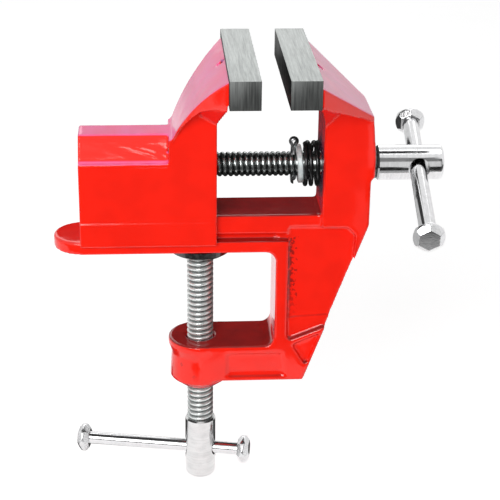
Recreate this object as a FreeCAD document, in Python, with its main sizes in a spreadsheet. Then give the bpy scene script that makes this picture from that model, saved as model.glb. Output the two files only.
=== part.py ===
"""A small bench vise that clamps to the edge of a table.

The origin is where the clamp screw's axis meets the underside of the base plate.
+X runs along the vise spindle towards its handle, +Y away from the front, +Z up.
Sizes are in millimetres.
"""
import FreeCAD
import Part
import Sketcher
import math
import os
import re

# name, size, what it is
SIZES = (
    ("jaw_width", 60.0, "width of both jaw plates"),
    ("jaw_height", 8.8, "height of the plates"),
    ("jaw_depth", 9.2, "thickness of each plate"),
    ("jaw_gap", 8.4, "how far the jaws stand open at rest"),
    ("jaw_rise", 35.5, "top of the jaws above the spindle axis"),
    ("moving_jaw_back", 7.6, "back of the moving plate from the clamp axis"),
    ("jaw_pin_diameter", 2.2, "pin that holds a plate from behind"),
    ("jaw_pin_depth", 4.0, "how deep the pin goes into the plate"),
    ("moving_pin_drop", 3.0, "moving jaw's pin below the top of the jaws"),
    ("fixed_pin_drop", 4.4, "fixed jaw's pin below the top of the jaws"),
    ("fixed_pin_length", 1.4, "fixed jaw's pin in its casting"),
    ("moving_pin_length", 1.2, "moving jaw's pin in its casting"),
    ("base_width", 19.2, "width of the base plate"),
    ("base_thickness", 3.9, "thickness of the base plate"),
    ("tongue_reach", 46.2, "rounded end of the base plate from the clamp axis"),
    ("rail_width", 16.8, "width of the rail that guides the slider"),
    ("rail_height", 12.0, "top of the rail above the underside"),
    ("rail_reach", 36.0, "free end of the rail from the clamp axis"),
    ("rail_neck_width", 14.0, "width of the rail's undercut"),
    ("groove_height", 1.8, "height of the undercut"),
    ("casting_width", 19.8, "width of the column, arm and inner flange"),
    ("web_width", 15.0, "width of the thin web"),
    ("lower_web_width", 16.4, "width of the web's thicker foot"),
    ("web_top", 8.0, "upper edge of the recess in the frame"),
    ("web_edge_back", 4.1, "far edge of the recess from the back of the column"),
    ("web_corner", 2.6, "bevelled corner of the recess"),
    ("web_edge_drop", 12.0, "where the recess runs out into the slant, below its top"),
    ("web_foot_drop", 23.7, "start of the thicker foot below the underside"),
    ("rib_drop", 26.0, "rib across the web, where it meets the slant, below the underside"),
    ("rib_fall", 4.8, "how much lower the rib is at the inner flange"),
    ("rib_chamfer", 1.0, "corner between the rib and the flange"),
    ("valley_margin", 1.8, "metal round the three-cornered valley below the rib"),
    ("valley_drop", 2.6, "its outer corner below the rib"),
    ("valley_rise", 5.0, "lowest corner of that valley above the arm's underside"),
    ("spindle_height", 26.2, "spindle axis above the underside"),
    ("column_setback", 3.4, "column behind the back of the fixed plate"),
    ("column_thickness", 14.9, "thickness of the column along the spindle"),
    ("column_pad", 1.2, "raised outer face round the spindle"),
    ("column_pad_drop", 2.8, "lower edge of that face below the spindle axis"),
    ("head_tip_height", 1.8, "thickness where the fixed jaw's wings end"),
    ("slope_drop", 17.1, "outer edge of the fixed jaw's slope below the jaw top"),
    ("casting_drop", 2.3, "casting behind the fixed plate, below its top"),
    ("throat_depth", 23.6, "clamp axis to the inside of the frame"),
    ("throat_height", 32.8, "height of the table opening"),
    ("throat_radius", 3.4, "inside corners of the table opening"),
    ("flange_thickness", 3.9, "inner flange of the frame"),
    ("arm_thickness", 12.6, "height of the lower arm"),
    ("arm_reach", 33.1, "far corner of the arm from the clamp axis"),
    ("arm_recess_depth", 0.9, "shallow recess in each side of the arm"),
    ("arm_recess_top", 2.6, "metal above that recess"),
    ("arm_recess_margin", 1.6, "metal below and beside it"),
    ("slant_top", 8.6, "where the column turns into the slant"),
    ("boss_diameter", 19.8, "boss round the clamp screw"),
    ("boss_cone_height", 3.4, "cone under the boss"),
    ("boss_foot", 1.2, "boss below the arm before its cone"),
    ("boss_lip", 2.2, "wider lip at the top of the boss"),
    ("boss_waist", 5.0, "narrowest place of the boss below the arm's top"),
    ("boss_flare", 0.5, "how much the lip stands out and the waist draws in"),
    ("boss_mouth_wall", 1.4, "wall round the screw at the foot of the boss"),
    ("slider_setback", 2.7, "inner face of the slider behind the plate's back"),
    ("slider_length", 42.3, "length of the slider along the rail"),
    ("slider_width", 22.0, "width of the slider"),
    ("neck_length", 14.7, "length of the part that carries the moving jaw"),
    ("shoulder_rise", 4.0, "ledge along the slider above the spindle axis"),
    ("shoulder_inset", 1.7, "width of that ledge"),
    ("spine_width", 9.4, "flat top of the slider"),
    ("spine_rise", 11.7, "flat top above the spindle axis"),
    ("skirt_drop", 3.0, "lower edge of the slider above the underside"),
    ("skirt_height", 7.6, "height of the thicker lower skirt"),
    ("skirt_relief", 0.4, "how far the skirt stands proud on each side"),
    ("slide_clearance", 0.3, "between the slider and what it runs along"),
    ("lip_height", 1.2, "lips of the slider in the rail's undercut"),
    ("hollow_wall", 2.2, "ledge of the slider above its hollow"),
    ("spine_wall", 3.6, "flat top of the slider above its hollow"),
    ("spine_inset", 1.3, "hollow narrower than the flat top, on each side"),
    ("inner_fillet_height", 9.0, "curve under the moving jaw"),
    ("inner_fillet_radius", 14.4, "radius of that curve"),
    ("wing_width", 51.6, "width of the slider's wings behind the moving plate"),
    ("wing_radius", 57.0, "arch over those wings, seen from the front"),
    ("wing_top_drop", 1.6, "top of the arch below the top of the jaws"),
    ("wing_foot_drop", 1.2, "foot of the arch below the slider's flat top"),
    ("wing_bend_reach", 8.1, "bend in the underside of the wings from the plate's back"),
    ("wing_bend_rise", 11.0, "where their underside bends, above the slider's top"),
    ("wing_under_radius", 40.0, "underside beyond the bend, seen from the front"),
    ("nut_size", 16.4, "width and height of the square nut"),
    ("nut_length", 9.6, "length of the nut"),
    ("nut_wall", 5.2, "wall of the slider in front of the nut"),
    ("spindle_diameter", 7.7, "outside of the spindle's thread"),
    ("spindle_reach", 34.0, "free end of the spindle from the clamp axis"),
    ("thread_pitch", 1.75, "pitch of both screws"),
    ("thread_depth", 0.95, "depth of both threads"),
    ("notch_share", 0.42, "half the mouth of a thread notch, as a share of the pitch"),
    ("notch_flat", 0.05, "half the floor of a notch, and how far it is cut past the crest"),
    ("running_clearance", 0.08, "radial clearance of every turning fit"),
    ("thrust_clearance", 0.3, "end clearance between parts that turn"),
    ("split_pin_diameter", 1.8, "split pin through the spindle"),
    ("split_pin_eye", 2.3, "outer radius of the split pin's eye"),
    ("split_pin_neck", 2.4, "shank between the spindle and the eye"),
    ("split_pin_wire", 1.44, "wire of its eye and legs"),
    ("split_leg_length", 2.2, "legs below the spindle"),
    ("split_leg_spread", 80.0, "how far each leg is bent, in degrees"),
    ("washer_diameter", 12.2, "washer against the split pin"),
    ("washer_thickness", 1.7, "thickness of that washer"),
    ("spring_diameter", 14.6, "outside of the pressure spring"),
    ("spring_wire", 1.5, "wire of the pressure spring"),
    ("spring_turns", 2.0, "turns of the pressure spring"),
    ("spring_rise", 2.0, "rise of each turn"),
    ("spring_segment", 0.25, "turns in each stretch of its path"),
    ("seat_clearance", 0.05, "between pieces that are pressed together by the spring"),
    ("collar_rim", 1.05, "thrust ring outside the column, past the spindle all round"),
    ("collar_thickness", 1.1, "thickness of that ring"),
    ("head_diameter", 11.0, "head of the spindle"),
    ("head_length", 20.9, "length of that head"),
    ("head_round", 1.0, "rounded rim of that head"),
    ("head_bore_place", 13.0, "handle hole from the head's inner end"),
    ("head_bore_tilt", 84.0, "lean of that hole from upright, in degrees"),
    ("handle_clearance", 0.75, "radial clearance of the bar, which hangs loosely in its hole"),
    ("tenon_diameter", 6.4, "end of a screw inside its head"),
    ("tenon_length", 8.0, "length of that end"),
    ("handle_diameter", 5.3, "bar of the spindle handle"),
    ("handle_rear", 25.8, "centre of its upper knob from the spindle axis"),
    ("handle_front", 41.7, "centre of its lower knob from the spindle axis"),
    ("handle_tilt", 78.0, "lean of the bar from upright, in degrees"),
    ("handle_swing", 3.9, "turn of the bar in its loose hole, seen from above, in degrees"),
    ("knob_diameter", 9.6, "knobs of the spindle handle"),
    ("knob_length", 4.4, "length of those knobs"),
    ("knob_rim", 0.6, "round rim between the facets of a knob"),
    ("knob_face_share", 0.63, "half width of a knob's end facet, as a share of its radius"),
    ("clamp_diameter", 8.6, "outside of the clamp screw's thread"),
    ("clamp_length", 59.7, "clamp screw from its pad to its head"),
    ("clamp_bore_clearance", 0.3, "between the clamp screw and its boss"),
    ("pad_diameter", 19.2, "pressure pad"),
    ("pad_thickness", 2.8, "thickness of the pad"),
    ("pad_gap", 0.3, "between the pad and the underside at rest"),
    ("tip_diameter", 4.8, "tip of the clamp screw inside the pad"),
    ("tip_length", 1.5, "length of that tip"),
    ("clamp_head_diameter", 10.1, "head of the clamp screw"),
    ("clamp_head_length", 22.0, "length of that head"),
    ("clamp_head_round", 1.8, "rounded rim of that head"),
    ("clamp_bore_place", 11.9, "handle hole from the top of that head"),
    ("tommy_clearance", 0.5, "radial clearance of the clamp handle's bar"),
    ("tommy_diameter", 4.2, "bar of the clamp handle"),
    ("tommy_left", 40.0, "centre of its far knob from the clamp axis"),
    ("tommy_right", 14.7, "centre of its near knob from the clamp axis"),
    ("tommy_turn", 11.1, "turn of the clamp handle, in degrees"),
    ("tommy_knob_diameter", 9.3, "knobs of the clamp handle"),
    ("tommy_knob_length", 3.9, "length of those knobs"),
    ("tommy_knob_turn", 23.0, "turn of those knobs about their bar, in degrees"),
    ("bar_tenon_share", 0.6, "end of a bar inside its knob, as a share of the bar"),
    ("edge", 0.5, "small chamfers on turned parts"),
    ("overlap", 0.5, "how far features of one casting reach into each other"),
)

# places that several pieces share, written with the names above
FIXED_JAW_BACK = "(moving_jaw_back + 2 * jaw_depth + jaw_gap)"
JAW_TOP = "(spindle_height + jaw_rise)"
JAW_BOTTOM = f"({JAW_TOP} - jaw_height)"
COLUMN_FACE = f"({FIXED_JAW_BACK} + column_setback)"
COLUMN_BACK = f"({COLUMN_FACE} + column_thickness)"
PAD_FACE = f"({COLUMN_BACK} + column_pad)"
SLOPE_END = f"({JAW_TOP} - slope_drop)"
ARM_TOP = "(-throat_height)"
ARM_BOTTOM = "(-throat_height - arm_thickness)"
BOSS_BOTTOM = f"({ARM_BOTTOM} - boss_foot - boss_cone_height)"
SLANT = f"(({COLUMN_BACK} - arm_reach) / (slant_top - {ARM_BOTTOM}))"
SLIDER_FACE = "(moving_jaw_back - slider_setback)"
SLIDER_END = f"({SLIDER_FACE} - slider_length)"
NECK_END = f"({SLIDER_FACE} - neck_length)"
SPINE_TOP = "(spindle_height + spine_rise)"
SHOULDER = "(spindle_height + shoulder_rise)"
SKIRT_TOP = "(skirt_drop + skirt_height)"
NUT_FACE = f"({SLIDER_FACE} - nut_wall)"
SPRING_LENGTH = "(spring_turns * spring_rise + spring_wire)"
WASHER_FACE = f"({COLUMN_FACE} - thrust_clearance - {SPRING_LENGTH} - seat_clearance)"
SPLIT_PIN_X = f"({WASHER_FACE} - washer_thickness - seat_clearance - split_pin_diameter / 2)"
COLLAR_FACE = f"({PAD_FACE} + thrust_clearance)"
HEAD_FACE = f"({COLLAR_FACE} + collar_thickness)"
HANDLE_X = f"({HEAD_FACE} + head_bore_place)"
PAD_BOTTOM = "(-pad_gap - pad_thickness)"
SCREW_TOP = f"({PAD_BOTTOM} - thrust_clearance)"
CLAMP_HEAD_TOP = f"({SCREW_TOP} - clamp_length)"
TOMMY_Z = f"({CLAMP_HEAD_TOP} - clamp_bore_place)"
FLANGE_BACK = "(throat_depth + flange_thickness)"
CORNER_REACH = "2 / sqrt(3)"  # from the middle of a hexagon to its corner, for each 1 to its flat

doc = FreeCAD.newDocument("bench_vise")
sheet = doc.addObject("Spreadsheet::Sheet", "Sizes")
for row, (alias, size, meaning) in enumerate(SIZES, start=1):
    sheet.set(f"A{row}", meaning)
    sheet.set(f"B{row}", str(size))
    sheet.setAlias(f"B{row}", alias)
doc.recompute()

NAMES = {alias for alias, _, _ in SIZES}
ACROSS = {"X_Axis": "YZ_Plane", "Z_Axis": "XY_Plane"}  # the plane across each axis
nodes = []


def formula(text):
    """Turn plain size names into an expression that reads the sheet."""
    return re.sub(r"[a-z_]+", lambda word: f"Sizes.{word[0]}" if word[0] in NAMES else word[0], str(text))


def value(text):
    """The present value of a formula."""
    return float(sheet.evalExpression(formula(text).replace("Sizes.", "")))


def bind(item, **properties):
    """Tie properties to formulas; a double underscore stands for a dot."""
    for name, text in properties.items():
        item.setExpression(name.replace("__", "."), formula(text))


def node(name):
    """Start a sub-part made of sketched features."""
    body = doc.addObject("PartDesign::Body", name)
    body.Label = name
    nodes.append(body)
    return body


def plane(body, role):
    """One of the body's own origin planes or axes."""
    return next(item for item in body.Origin.OriginFeatures if item.Role == role)


def arc_centre(start, end, radius, side):
    """Centre of the short arc between two points, on the left (1) or right (-1) of the way."""
    middle = (start + end) * 0.5
    along = end - start
    half = along.Length / 2
    left = FreeCAD.Vector(-along.y, along.x, 0).normalize()
    return middle + left * (side * math.sqrt(max(radius * radius - half * half, 0)))


def add_loop(sketch, corners):
    """Closed outline. A corner is (across, up), or (across, up, radius, side) before an arc."""
    points = [FreeCAD.Vector(value(corner[0]), value(corner[1]), 0) for corner in corners]
    ends = []
    for index, corner in enumerate(corners):
        start, end = points[index], points[(index + 1) % len(points)]
        if len(corner) == 2:
            edge = sketch.addGeometry(Part.LineSegment(start, end), False)
            ends.append((edge, 1, 2))
            continue
        centre = arc_centre(start, end, value(corner[2]), corner[3])
        first, last = (start, end) if corner[3] > 0 else (end, start)
        angles = [math.atan2(point.y - centre.y, point.x - centre.x) for point in (first, last)]
        if angles[1] < angles[0]:
            angles[1] += 2 * math.pi
        circle = Part.Circle(centre, FreeCAD.Vector(0, 0, 1), value(corner[2]))
        edge = sketch.addGeometry(Part.ArcOfCircle(circle, *angles), False)
        ends.append((edge, 1, 2) if corner[3] > 0 else (edge, 2, 1))
        turn = sketch.addConstraint(Sketcher.Constraint("Radius", edge, value(corner[2])))
        bind(sketch, **{f"Constraints[{turn}]": corner[2]})
    for index, (edge, first, last) in enumerate(ends):
        following, following_first, _ = ends[(index + 1) % len(ends)]
        sketch.addConstraint(Sketcher.Constraint("Coincident", edge, last, following, following_first))
        for kind, axis, text in zip(("DistanceX", "DistanceY"), (-2, -1), corners[index]):
            if str(text) == "0":
                sketch.addConstraint(Sketcher.Constraint("PointOnObject", edge, first, axis))
                continue
            number = sketch.addConstraint(Sketcher.Constraint(kind, -1, 1, edge, first, value(text)))
            bind(sketch, **{f"Constraints[{number}]": text})


def add_circle(sketch, across, up, radius):
    """Full circle with its centre and radius tied to the sheet."""
    centre = FreeCAD.Vector(value(across), value(up), 0)
    edge = sketch.addGeometry(Part.Circle(centre, FreeCAD.Vector(0, 0, 1), value(radius)), False)
    turn = sketch.addConstraint(Sketcher.Constraint("Radius", edge, value(radius)))
    bind(sketch, **{f"Constraints[{turn}]": radius})
    for kind, axis, text in (("DistanceX", -2, across), ("DistanceY", -1, up)):
        if str(text) == "0":
            sketch.addConstraint(Sketcher.Constraint("PointOnObject", edge, 3, axis))
            continue
        number = sketch.addConstraint(Sketcher.Constraint(kind, -1, 1, edge, 3, value(text)))
        bind(sketch, **{f"Constraints[{number}]": text})


def sketch_on(body, name, role, loops=(), circles=(), offset=None):
    """Sketch on an origin plane of the body, moved along the plane's normal by offset."""
    sketch = body.newObject("Sketcher::SketchObject", name)
    sketch.AttachmentSupport = (plane(body, role), "")
    sketch.MapMode = "FlatFace"
    if offset is not None:
        bind(sketch, AttachmentOffset__Base__z=offset)
    for corners in loops:
        add_loop(sketch, corners)
    for circle in circles:
        add_circle(sketch, *circle)
    return sketch


def extrude(kind, body, name, sketch, length, both_ways=False, backwards=False):
    """Pad or pocket of one length, centred on the sketch if both_ways."""
    feature = body.newObject(f"PartDesign::{kind}", name)
    feature.Profile = sketch
    feature.SideType = "Symmetric" if both_ways else "One side"
    feature.Reversed = backwards
    bind(feature, Length=length)
    sketch.Visibility = False
    return feature


def pad(body, name, sketch, length, **options):
    """Add a slab."""
    return extrude("Pad", body, name, sketch, length, **options)


def pocket(body, name, sketch, length, **options):
    """Cut a slab away, and make sure that it took something."""
    doc.recompute()
    before = body.Shape.Volume
    feature = extrude("Pocket", body, name, sketch, length, **options)
    doc.recompute()
    if body.Shape.Volume >= before:
        raise ValueError(f"{name} cuts nothing")
    return feature


def turn(body, name, role, axis, corners):
    """Turned piece: an outline swept round one of the body's axes."""
    feature = body.newObject("PartDesign::Revolution", name)
    feature.Profile = sketch_on(body, f"{name}_outline", role, [corners])
    feature.ReferenceAxis = (plane(body, axis), "")
    feature.Angle = 360
    return feature


def thread(body, name, axis, first, radius, length):
    """Row of turned grooves that stand for a thread, from the place called first onwards."""
    half_mouth = "notch_share * thread_pitch"
    notch = [
        (f"{first} - {half_mouth}", f"{radius} + notch_flat"),
        (f"{first} - notch_flat", f"{radius} - thread_depth"),
        (f"{first} + notch_flat", f"{radius} - thread_depth"),
        (f"{first} + {half_mouth}", f"{radius} + notch_flat"),
    ]
    if axis == "Z_Axis":
        notch = [(out, along) for along, out in notch]
    groove = body.newObject("PartDesign::Groove", f"{name}_groove")
    groove.Profile = sketch_on(body, f"{name}_notch", "XZ_Plane", [notch])
    groove.ReferenceAxis = (plane(body, axis), "")
    groove.Angle = 360
    rows = body.newObject("PartDesign::LinearPattern", f"{name}_rows")
    rows.Originals = [groove]
    rows.Direction = (plane(body, axis), "")
    rows.Reversed = axis == "Z_Axis"
    count = f"floor(({length}) / thread_pitch)"
    bind(rows, Occurrences=count, Length=f"({count} - 1) * thread_pitch")
    body.Tip = rows


def symmetric(corners):
    """Complete a half outline, given upwards on the right, with its mirror image on the left."""
    return corners + [(f"-({corner[0]})", *corner[1:]) for corner in reversed(corners)]


def slant_x(height):
    """Place along X of the frame's slanted edge at a height."""
    return f"({COLUMN_BACK} - (slant_top - ({height})) * {SLANT})"


def make_frame_body():
    """Casting: base plate and rail, column with the fixed jaw's wings, web, lower arm and boss."""
    body = node("frame_body")
    wings = [
        (FIXED_JAW_BACK, JAW_BOTTOM),
        (COLUMN_BACK, f"{SLOPE_END} - head_tip_height"),
        (COLUMN_BACK, SLOPE_END),
        (FIXED_JAW_BACK, f"{JAW_TOP} - casting_drop"),
    ]
    pad(body, "wings", sketch_on(body, "wings_profile", "XZ_Plane", [wings]), "jaw_width", both_ways=True)
    trims = []
    for side in ("", "-"):
        trims.append([
            (FIXED_JAW_BACK, f"{side}jaw_width / 2"),
            (f"{COLUMN_BACK} + overlap", f"{side}casting_width / 2"),
            (f"{COLUMN_BACK} + overlap", f"{side}jaw_width"),
            (FIXED_JAW_BACK, f"{side}jaw_width"),
        ])
    wing_plan = sketch_on(body, "wing_plan", "XY_Plane", trims)
    pocket(body, "wing_trim", wing_plan, f"2 * {JAW_TOP}", both_ways=True)

    half_base = "base_width / 2"
    base = [
        (f"-(tongue_reach - {half_base})", f"-{half_base}"),
        (FLANGE_BACK, f"-{half_base}"),
        (FLANGE_BACK, half_base),
        (f"-(tongue_reach - {half_base})", half_base, half_base, 1),
        ("-tongue_reach", "0", half_base, 1),
    ]
    pad(body, "base_plate", sketch_on(body, "base_plan", "XY_Plane", [base]), "base_thickness")
    undercut = [
        ("-rail_reach", "base_thickness - overlap"),
        (FLANGE_BACK, "base_thickness - overlap"),
        (FLANGE_BACK, "base_thickness + groove_height + overlap"),
        ("-rail_reach", "base_thickness + groove_height + overlap"),
    ]
    pad(body, "rail_neck", sketch_on(body, "neck_profile", "XZ_Plane", [undercut]), "rail_neck_width",
        both_ways=True)
    rail = [
        ("-rail_reach", "base_thickness + groove_height"),
        (FLANGE_BACK, "base_thickness + groove_height"),
        (FLANGE_BACK, "web_top"),
        (f"{COLUMN_FACE} + overlap", "web_top"),
        (f"{COLUMN_FACE} + overlap", "rail_height"),
        ("-rail_reach", "rail_height"),
    ]
    pad(body, "rail", sketch_on(body, "rail_profile", "XZ_Plane", [rail]), "rail_width", both_ways=True)

    web_end = [
        (slant_x(f"{ARM_BOTTOM} + overlap"), f"{ARM_BOTTOM} + overlap"),
        ("throat_depth + overlap", f"{ARM_BOTTOM} + overlap"),
    ]
    web = [
        ("throat_depth + overlap", "web_top + overlap"),
        (slant_x("web_top + overlap"), "web_top + overlap"),
        *web_end,
    ]
    pad(body, "web", sketch_on(body, "web_profile", "XZ_Plane", [web]), "web_width", both_ways=True)
    foot = [
        ("throat_depth + overlap", "-web_foot_drop"),
        (slant_x("rib_chamfer - web_foot_drop"), "rib_chamfer - web_foot_drop"),
        *web_end,
    ]
    pad(body, "web_foot", sketch_on(body, "foot_profile", "XZ_Plane", [foot]), "lower_web_width",
        both_ways=True)

    column = [
        (COLUMN_FACE, "web_top"),
        (f"{COLUMN_BACK} - web_edge_back - web_corner", "web_top"),
        (f"{COLUMN_BACK} - web_edge_back", "web_top - web_corner"),
        (slant_x("web_top - web_edge_drop"), "web_top - web_edge_drop"),
        (COLUMN_BACK, "slant_top"),
        (COLUMN_BACK, "spindle_height - column_pad_drop"),
        (PAD_FACE, "spindle_height - column_pad_drop + column_pad"),
        (PAD_FACE, "spindle_height + spindle_diameter / 2 + collar_rim + edge"),
        (COLUMN_BACK, SLOPE_END),
        (FIXED_JAW_BACK, f"{JAW_TOP} - casting_drop"),
        (FIXED_JAW_BACK, JAW_BOTTOM),
        (COLUMN_FACE, f"{JAW_BOTTOM} - 2 * column_setback"),
    ]
    pad(body, "column", sketch_on(body, "column_profile", "XZ_Plane", [column]), "casting_width",
        both_ways=True)

    recess_left = "boss_diameter / 2 - arm_recess_margin"
    arm = [
        ("throat_depth - throat_radius", "base_thickness / 2"),
        ("throat_depth - throat_radius", "0", "throat_radius", -1),
        ("throat_depth", "-throat_radius"),
        ("throat_depth", f"{ARM_TOP} + throat_radius", "throat_radius", -1),
        ("throat_depth - throat_radius", ARM_TOP),
        ("0", ARM_TOP),
        ("0", ARM_BOTTOM),
        ("arm_reach", ARM_BOTTOM),
        (slant_x("-rib_drop"), "-rib_drop"),
        (f"{FLANGE_BACK} + rib_chamfer", "-rib_drop - rib_fall"),
        (FLANGE_BACK, "-rib_drop - rib_fall + rib_chamfer"),
        (FLANGE_BACK, "base_thickness / 2"),
    ]
    valley = [
        (f"{FLANGE_BACK} + valley_margin", "-rib_drop - rib_fall - valley_margin"),
        (f"{slant_x(f'{ARM_BOTTOM} + valley_rise')} - rib_chamfer", f"{ARM_BOTTOM} + valley_rise"),
        (f"{slant_x('-rib_drop')} - valley_margin", "-rib_drop - valley_drop"),
    ]
    recess = [
        (recess_left, f"{ARM_BOTTOM} + arm_recess_margin"),
        (FLANGE_BACK, f"{ARM_BOTTOM} + arm_recess_margin"),
        (f"{FLANGE_BACK} - arm_recess_margin", f"{ARM_TOP} - arm_recess_top"),
        (recess_left, f"{ARM_TOP} - arm_recess_top"),
    ]
    pad(body, "arm", sketch_on(body, "arm_profile", "XZ_Plane", [arm, valley, recess]), "casting_width",
        both_ways=True)
    core = [
        ("0", f"{ARM_TOP} - overlap"),
        ("0", f"{ARM_BOTTOM} + overlap"),
        (f"{FLANGE_BACK} + valley_margin", f"{ARM_BOTTOM} + overlap"),
        ("throat_depth + overlap", f"{ARM_TOP} - overlap"),
    ]
    pad(body, "arm_core", sketch_on(body, "core_profile", "XZ_Plane", [core]),
        "casting_width - 2 * arm_recess_depth", both_ways=True)

    turn(body, "boss", "XZ_Plane", "Z_Axis", [
        ("0", ARM_TOP),
        ("boss_diameter / 2 + boss_flare", ARM_TOP),
        ("boss_diameter / 2 + boss_flare", f"{ARM_TOP} - boss_lip"),
        ("boss_diameter / 2 - boss_flare", f"{ARM_TOP} - boss_waist"),
        ("boss_diameter / 2", f"{ARM_BOTTOM} - boss_foot"),
        ("clamp_diameter / 2 + boss_mouth_wall", BOSS_BOTTOM),
        ("0", BOSS_BOTTOM),
    ])
    screw_hole = sketch_on(body, "screw_hole_plan", "XY_Plane",
                           circles=[("0", "0", "clamp_diameter / 2 + clamp_bore_clearance")], offset=ARM_TOP)
    pocket(body, "screw_hole", screw_hole, f"{ARM_TOP} - {BOSS_BOTTOM} + overlap")
    spindle_hole = sketch_on(body, "spindle_hole_plan", "YZ_Plane",
                             circles=[("0", "spindle_height", "spindle_diameter / 2 + running_clearance")],
                             offset=f"{COLUMN_FACE} - overlap")
    pocket(body, "spindle_hole", spindle_hole, "column_thickness + 2 * column_pad", backwards=True)
    pin_hole = sketch_on(body, "pin_hole_plan", "YZ_Plane",
                         circles=[("0", f"{JAW_TOP} - fixed_pin_drop", "jaw_pin_diameter / 2")],
                         offset=f"{FIXED_JAW_BACK} - overlap")
    pocket(body, "pin_hole", pin_hole, "column_thickness", backwards=True)


def make_moving_jaw_body():
    """Slider: hollow box over the rail, neck and wings that carry the moving jaw."""
    body = node("moving_jaw_body")
    half = "slider_width / 2"
    arch_foot = f"({NECK_END} + overlap)"
    bend = "(moving_jaw_back - wing_bend_reach)"
    bend_height = f"({SPINE_TOP} + wing_bend_rise)"
    wings = [
        ("moving_jaw_back", JAW_BOTTOM),
        (bend, bend_height, "wing_under_radius", 1),
        (arch_foot, f"{SPINE_TOP} - wing_foot_drop - overlap"),
        (arch_foot, f"{SPINE_TOP} - wing_foot_drop", "wing_radius", -1),
        ("moving_jaw_back", f"{JAW_TOP} - wing_top_drop"),
    ]
    pad(body, "wings", sketch_on(body, "wings_profile", "XZ_Plane", [wings]), "jaw_width", both_ways=True)
    trims = []
    for side in ("", "-"):
        trims.append([
            ("moving_jaw_back", f"{side}wing_width / 2"),
            (arch_foot, f"{side}{half}"),
            (f"{NECK_END} - overlap", f"{side}{half}"),
            (f"{NECK_END} - overlap", f"{side}jaw_width"),
            ("moving_jaw_back", f"{side}jaw_width"),
        ])
    wing_plan = sketch_on(body, "wing_plan", "XY_Plane", trims)
    pocket(body, "wing_trim", wing_plan, f"2 * {JAW_TOP}", both_ways=True)

    neck = [
        (SLIDER_FACE, "skirt_drop"),
        (SLIDER_FACE, f"{JAW_BOTTOM} - inner_fillet_height", "inner_fillet_radius", -1),
        ("moving_jaw_back", JAW_BOTTOM),
        ("moving_jaw_back", f"{JAW_BOTTOM} + 2 * overlap"),
        (bend, f"{bend_height} + 2 * overlap", "wing_under_radius", 1),
        (f"{arch_foot} + 3 * overlap / 2", SPINE_TOP),
        (NECK_END, SPINE_TOP),
        (NECK_END, "skirt_drop"),
    ]
    pad(body, "neck", sketch_on(body, "neck_profile", "XZ_Plane", [neck]), "slider_width", both_ways=True)
    section = symmetric([
        (half, "skirt_drop"),
        (half, SHOULDER),
        (f"{half} - shoulder_inset", SHOULDER),
        ("spine_width / 2", SPINE_TOP),
    ])
    pad(body, "box", sketch_on(body, "box_section", "YZ_Plane", [section], offset=SLIDER_END),
        f"{NECK_END} - {SLIDER_END}")
    skirt = [
        (SLIDER_END, "skirt_drop"),
        (SLIDER_FACE, "skirt_drop"),
        (SLIDER_FACE, f"{SKIRT_TOP} - skirt_relief"),
        (f"{SLIDER_FACE} - skirt_relief", SKIRT_TOP),
        (SLIDER_END, SKIRT_TOP),
    ]
    skirt_profile = sketch_on(body, "skirt_profile", "XZ_Plane", [skirt])
    pad(body, "skirt", skirt_profile, "slider_width + 2 * skirt_relief", both_ways=True)

    channel = symmetric([
        ("base_width / 2 + slide_clearance", "skirt_drop - overlap"),
        ("base_width / 2 + slide_clearance", "base_thickness + slide_clearance"),
        ("rail_neck_width / 2 + slide_clearance", "base_thickness + slide_clearance"),
        ("rail_neck_width / 2 + slide_clearance", "base_thickness + slide_clearance + lip_height"),
        ("rail_width / 2 + slide_clearance", "base_thickness + slide_clearance + lip_height"),
        ("rail_width / 2 + slide_clearance", "rail_height + slide_clearance"),
    ])
    pocket(body, "channel", sketch_on(body, "channel_section", "YZ_Plane", [channel], offset=SLIDER_END),
           "slider_length", backwards=True)
    hollow = symmetric([
        ("nut_size / 2", "rail_height"),
        ("nut_size / 2", f"{SHOULDER} - hollow_wall"),
        ("spine_width / 2 - spine_inset", f"{SPINE_TOP} - spine_wall"),
    ])
    pocket(body, "hollow", sketch_on(body, "hollow_section", "YZ_Plane", [hollow], offset=SLIDER_END),
           f"{NECK_END} - {SLIDER_END}", backwards=True)
    nut_seat = symmetric([
        ("nut_size / 2", "rail_height"),
        ("nut_size / 2", "spindle_height + nut_size / 2"),
    ])
    pocket(body, "nut_seat", sketch_on(body, "nut_section", "YZ_Plane", [nut_seat], offset=NECK_END),
           f"{NUT_FACE} - {NECK_END}", backwards=True)
    entry = sketch_on(body, "entry_section", "YZ_Plane",
                      circles=[("0", "spindle_height", "spindle_diameter / 2 + slide_clearance")],
                      offset=f"{NUT_FACE} - overlap")
    pocket(body, "entry", entry, "nut_wall + 2 * overlap", backwards=True)
    pin_hole = sketch_on(body, "pin_hole_plan", "YZ_Plane",
                         circles=[("0", f"{JAW_TOP} - moving_pin_drop", "jaw_pin_diameter / 2")],
                         offset="moving_jaw_back + overlap")
    pocket(body, "pin_hole", pin_hole, "neck_length")


def make_jaw_plate(name, back, towards, pin_drop):
    """Steel jaw plate, with a blind hole for its pin; towards is the way from its back to its grip."""
    body = node(name)
    front = f"{back} {towards} jaw_depth"
    face = [
        (back, JAW_BOTTOM),
        (front, JAW_BOTTOM),
        (front, JAW_TOP),
        (back, JAW_TOP),
    ]
    side = sketch_on(body, f"{name}_side", "XZ_Plane", [face])
    pad(body, f"{name}_block", side, "jaw_width", both_ways=True)
    hole = sketch_on(body, f"{name}_hole_plan", "YZ_Plane",
                     circles=[("0", f"{JAW_TOP} - {pin_drop}", "jaw_pin_diameter / 2")], offset=back)
    pocket(body, f"{name}_hole", hole, "jaw_pin_depth", backwards=towards == "+")


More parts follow.
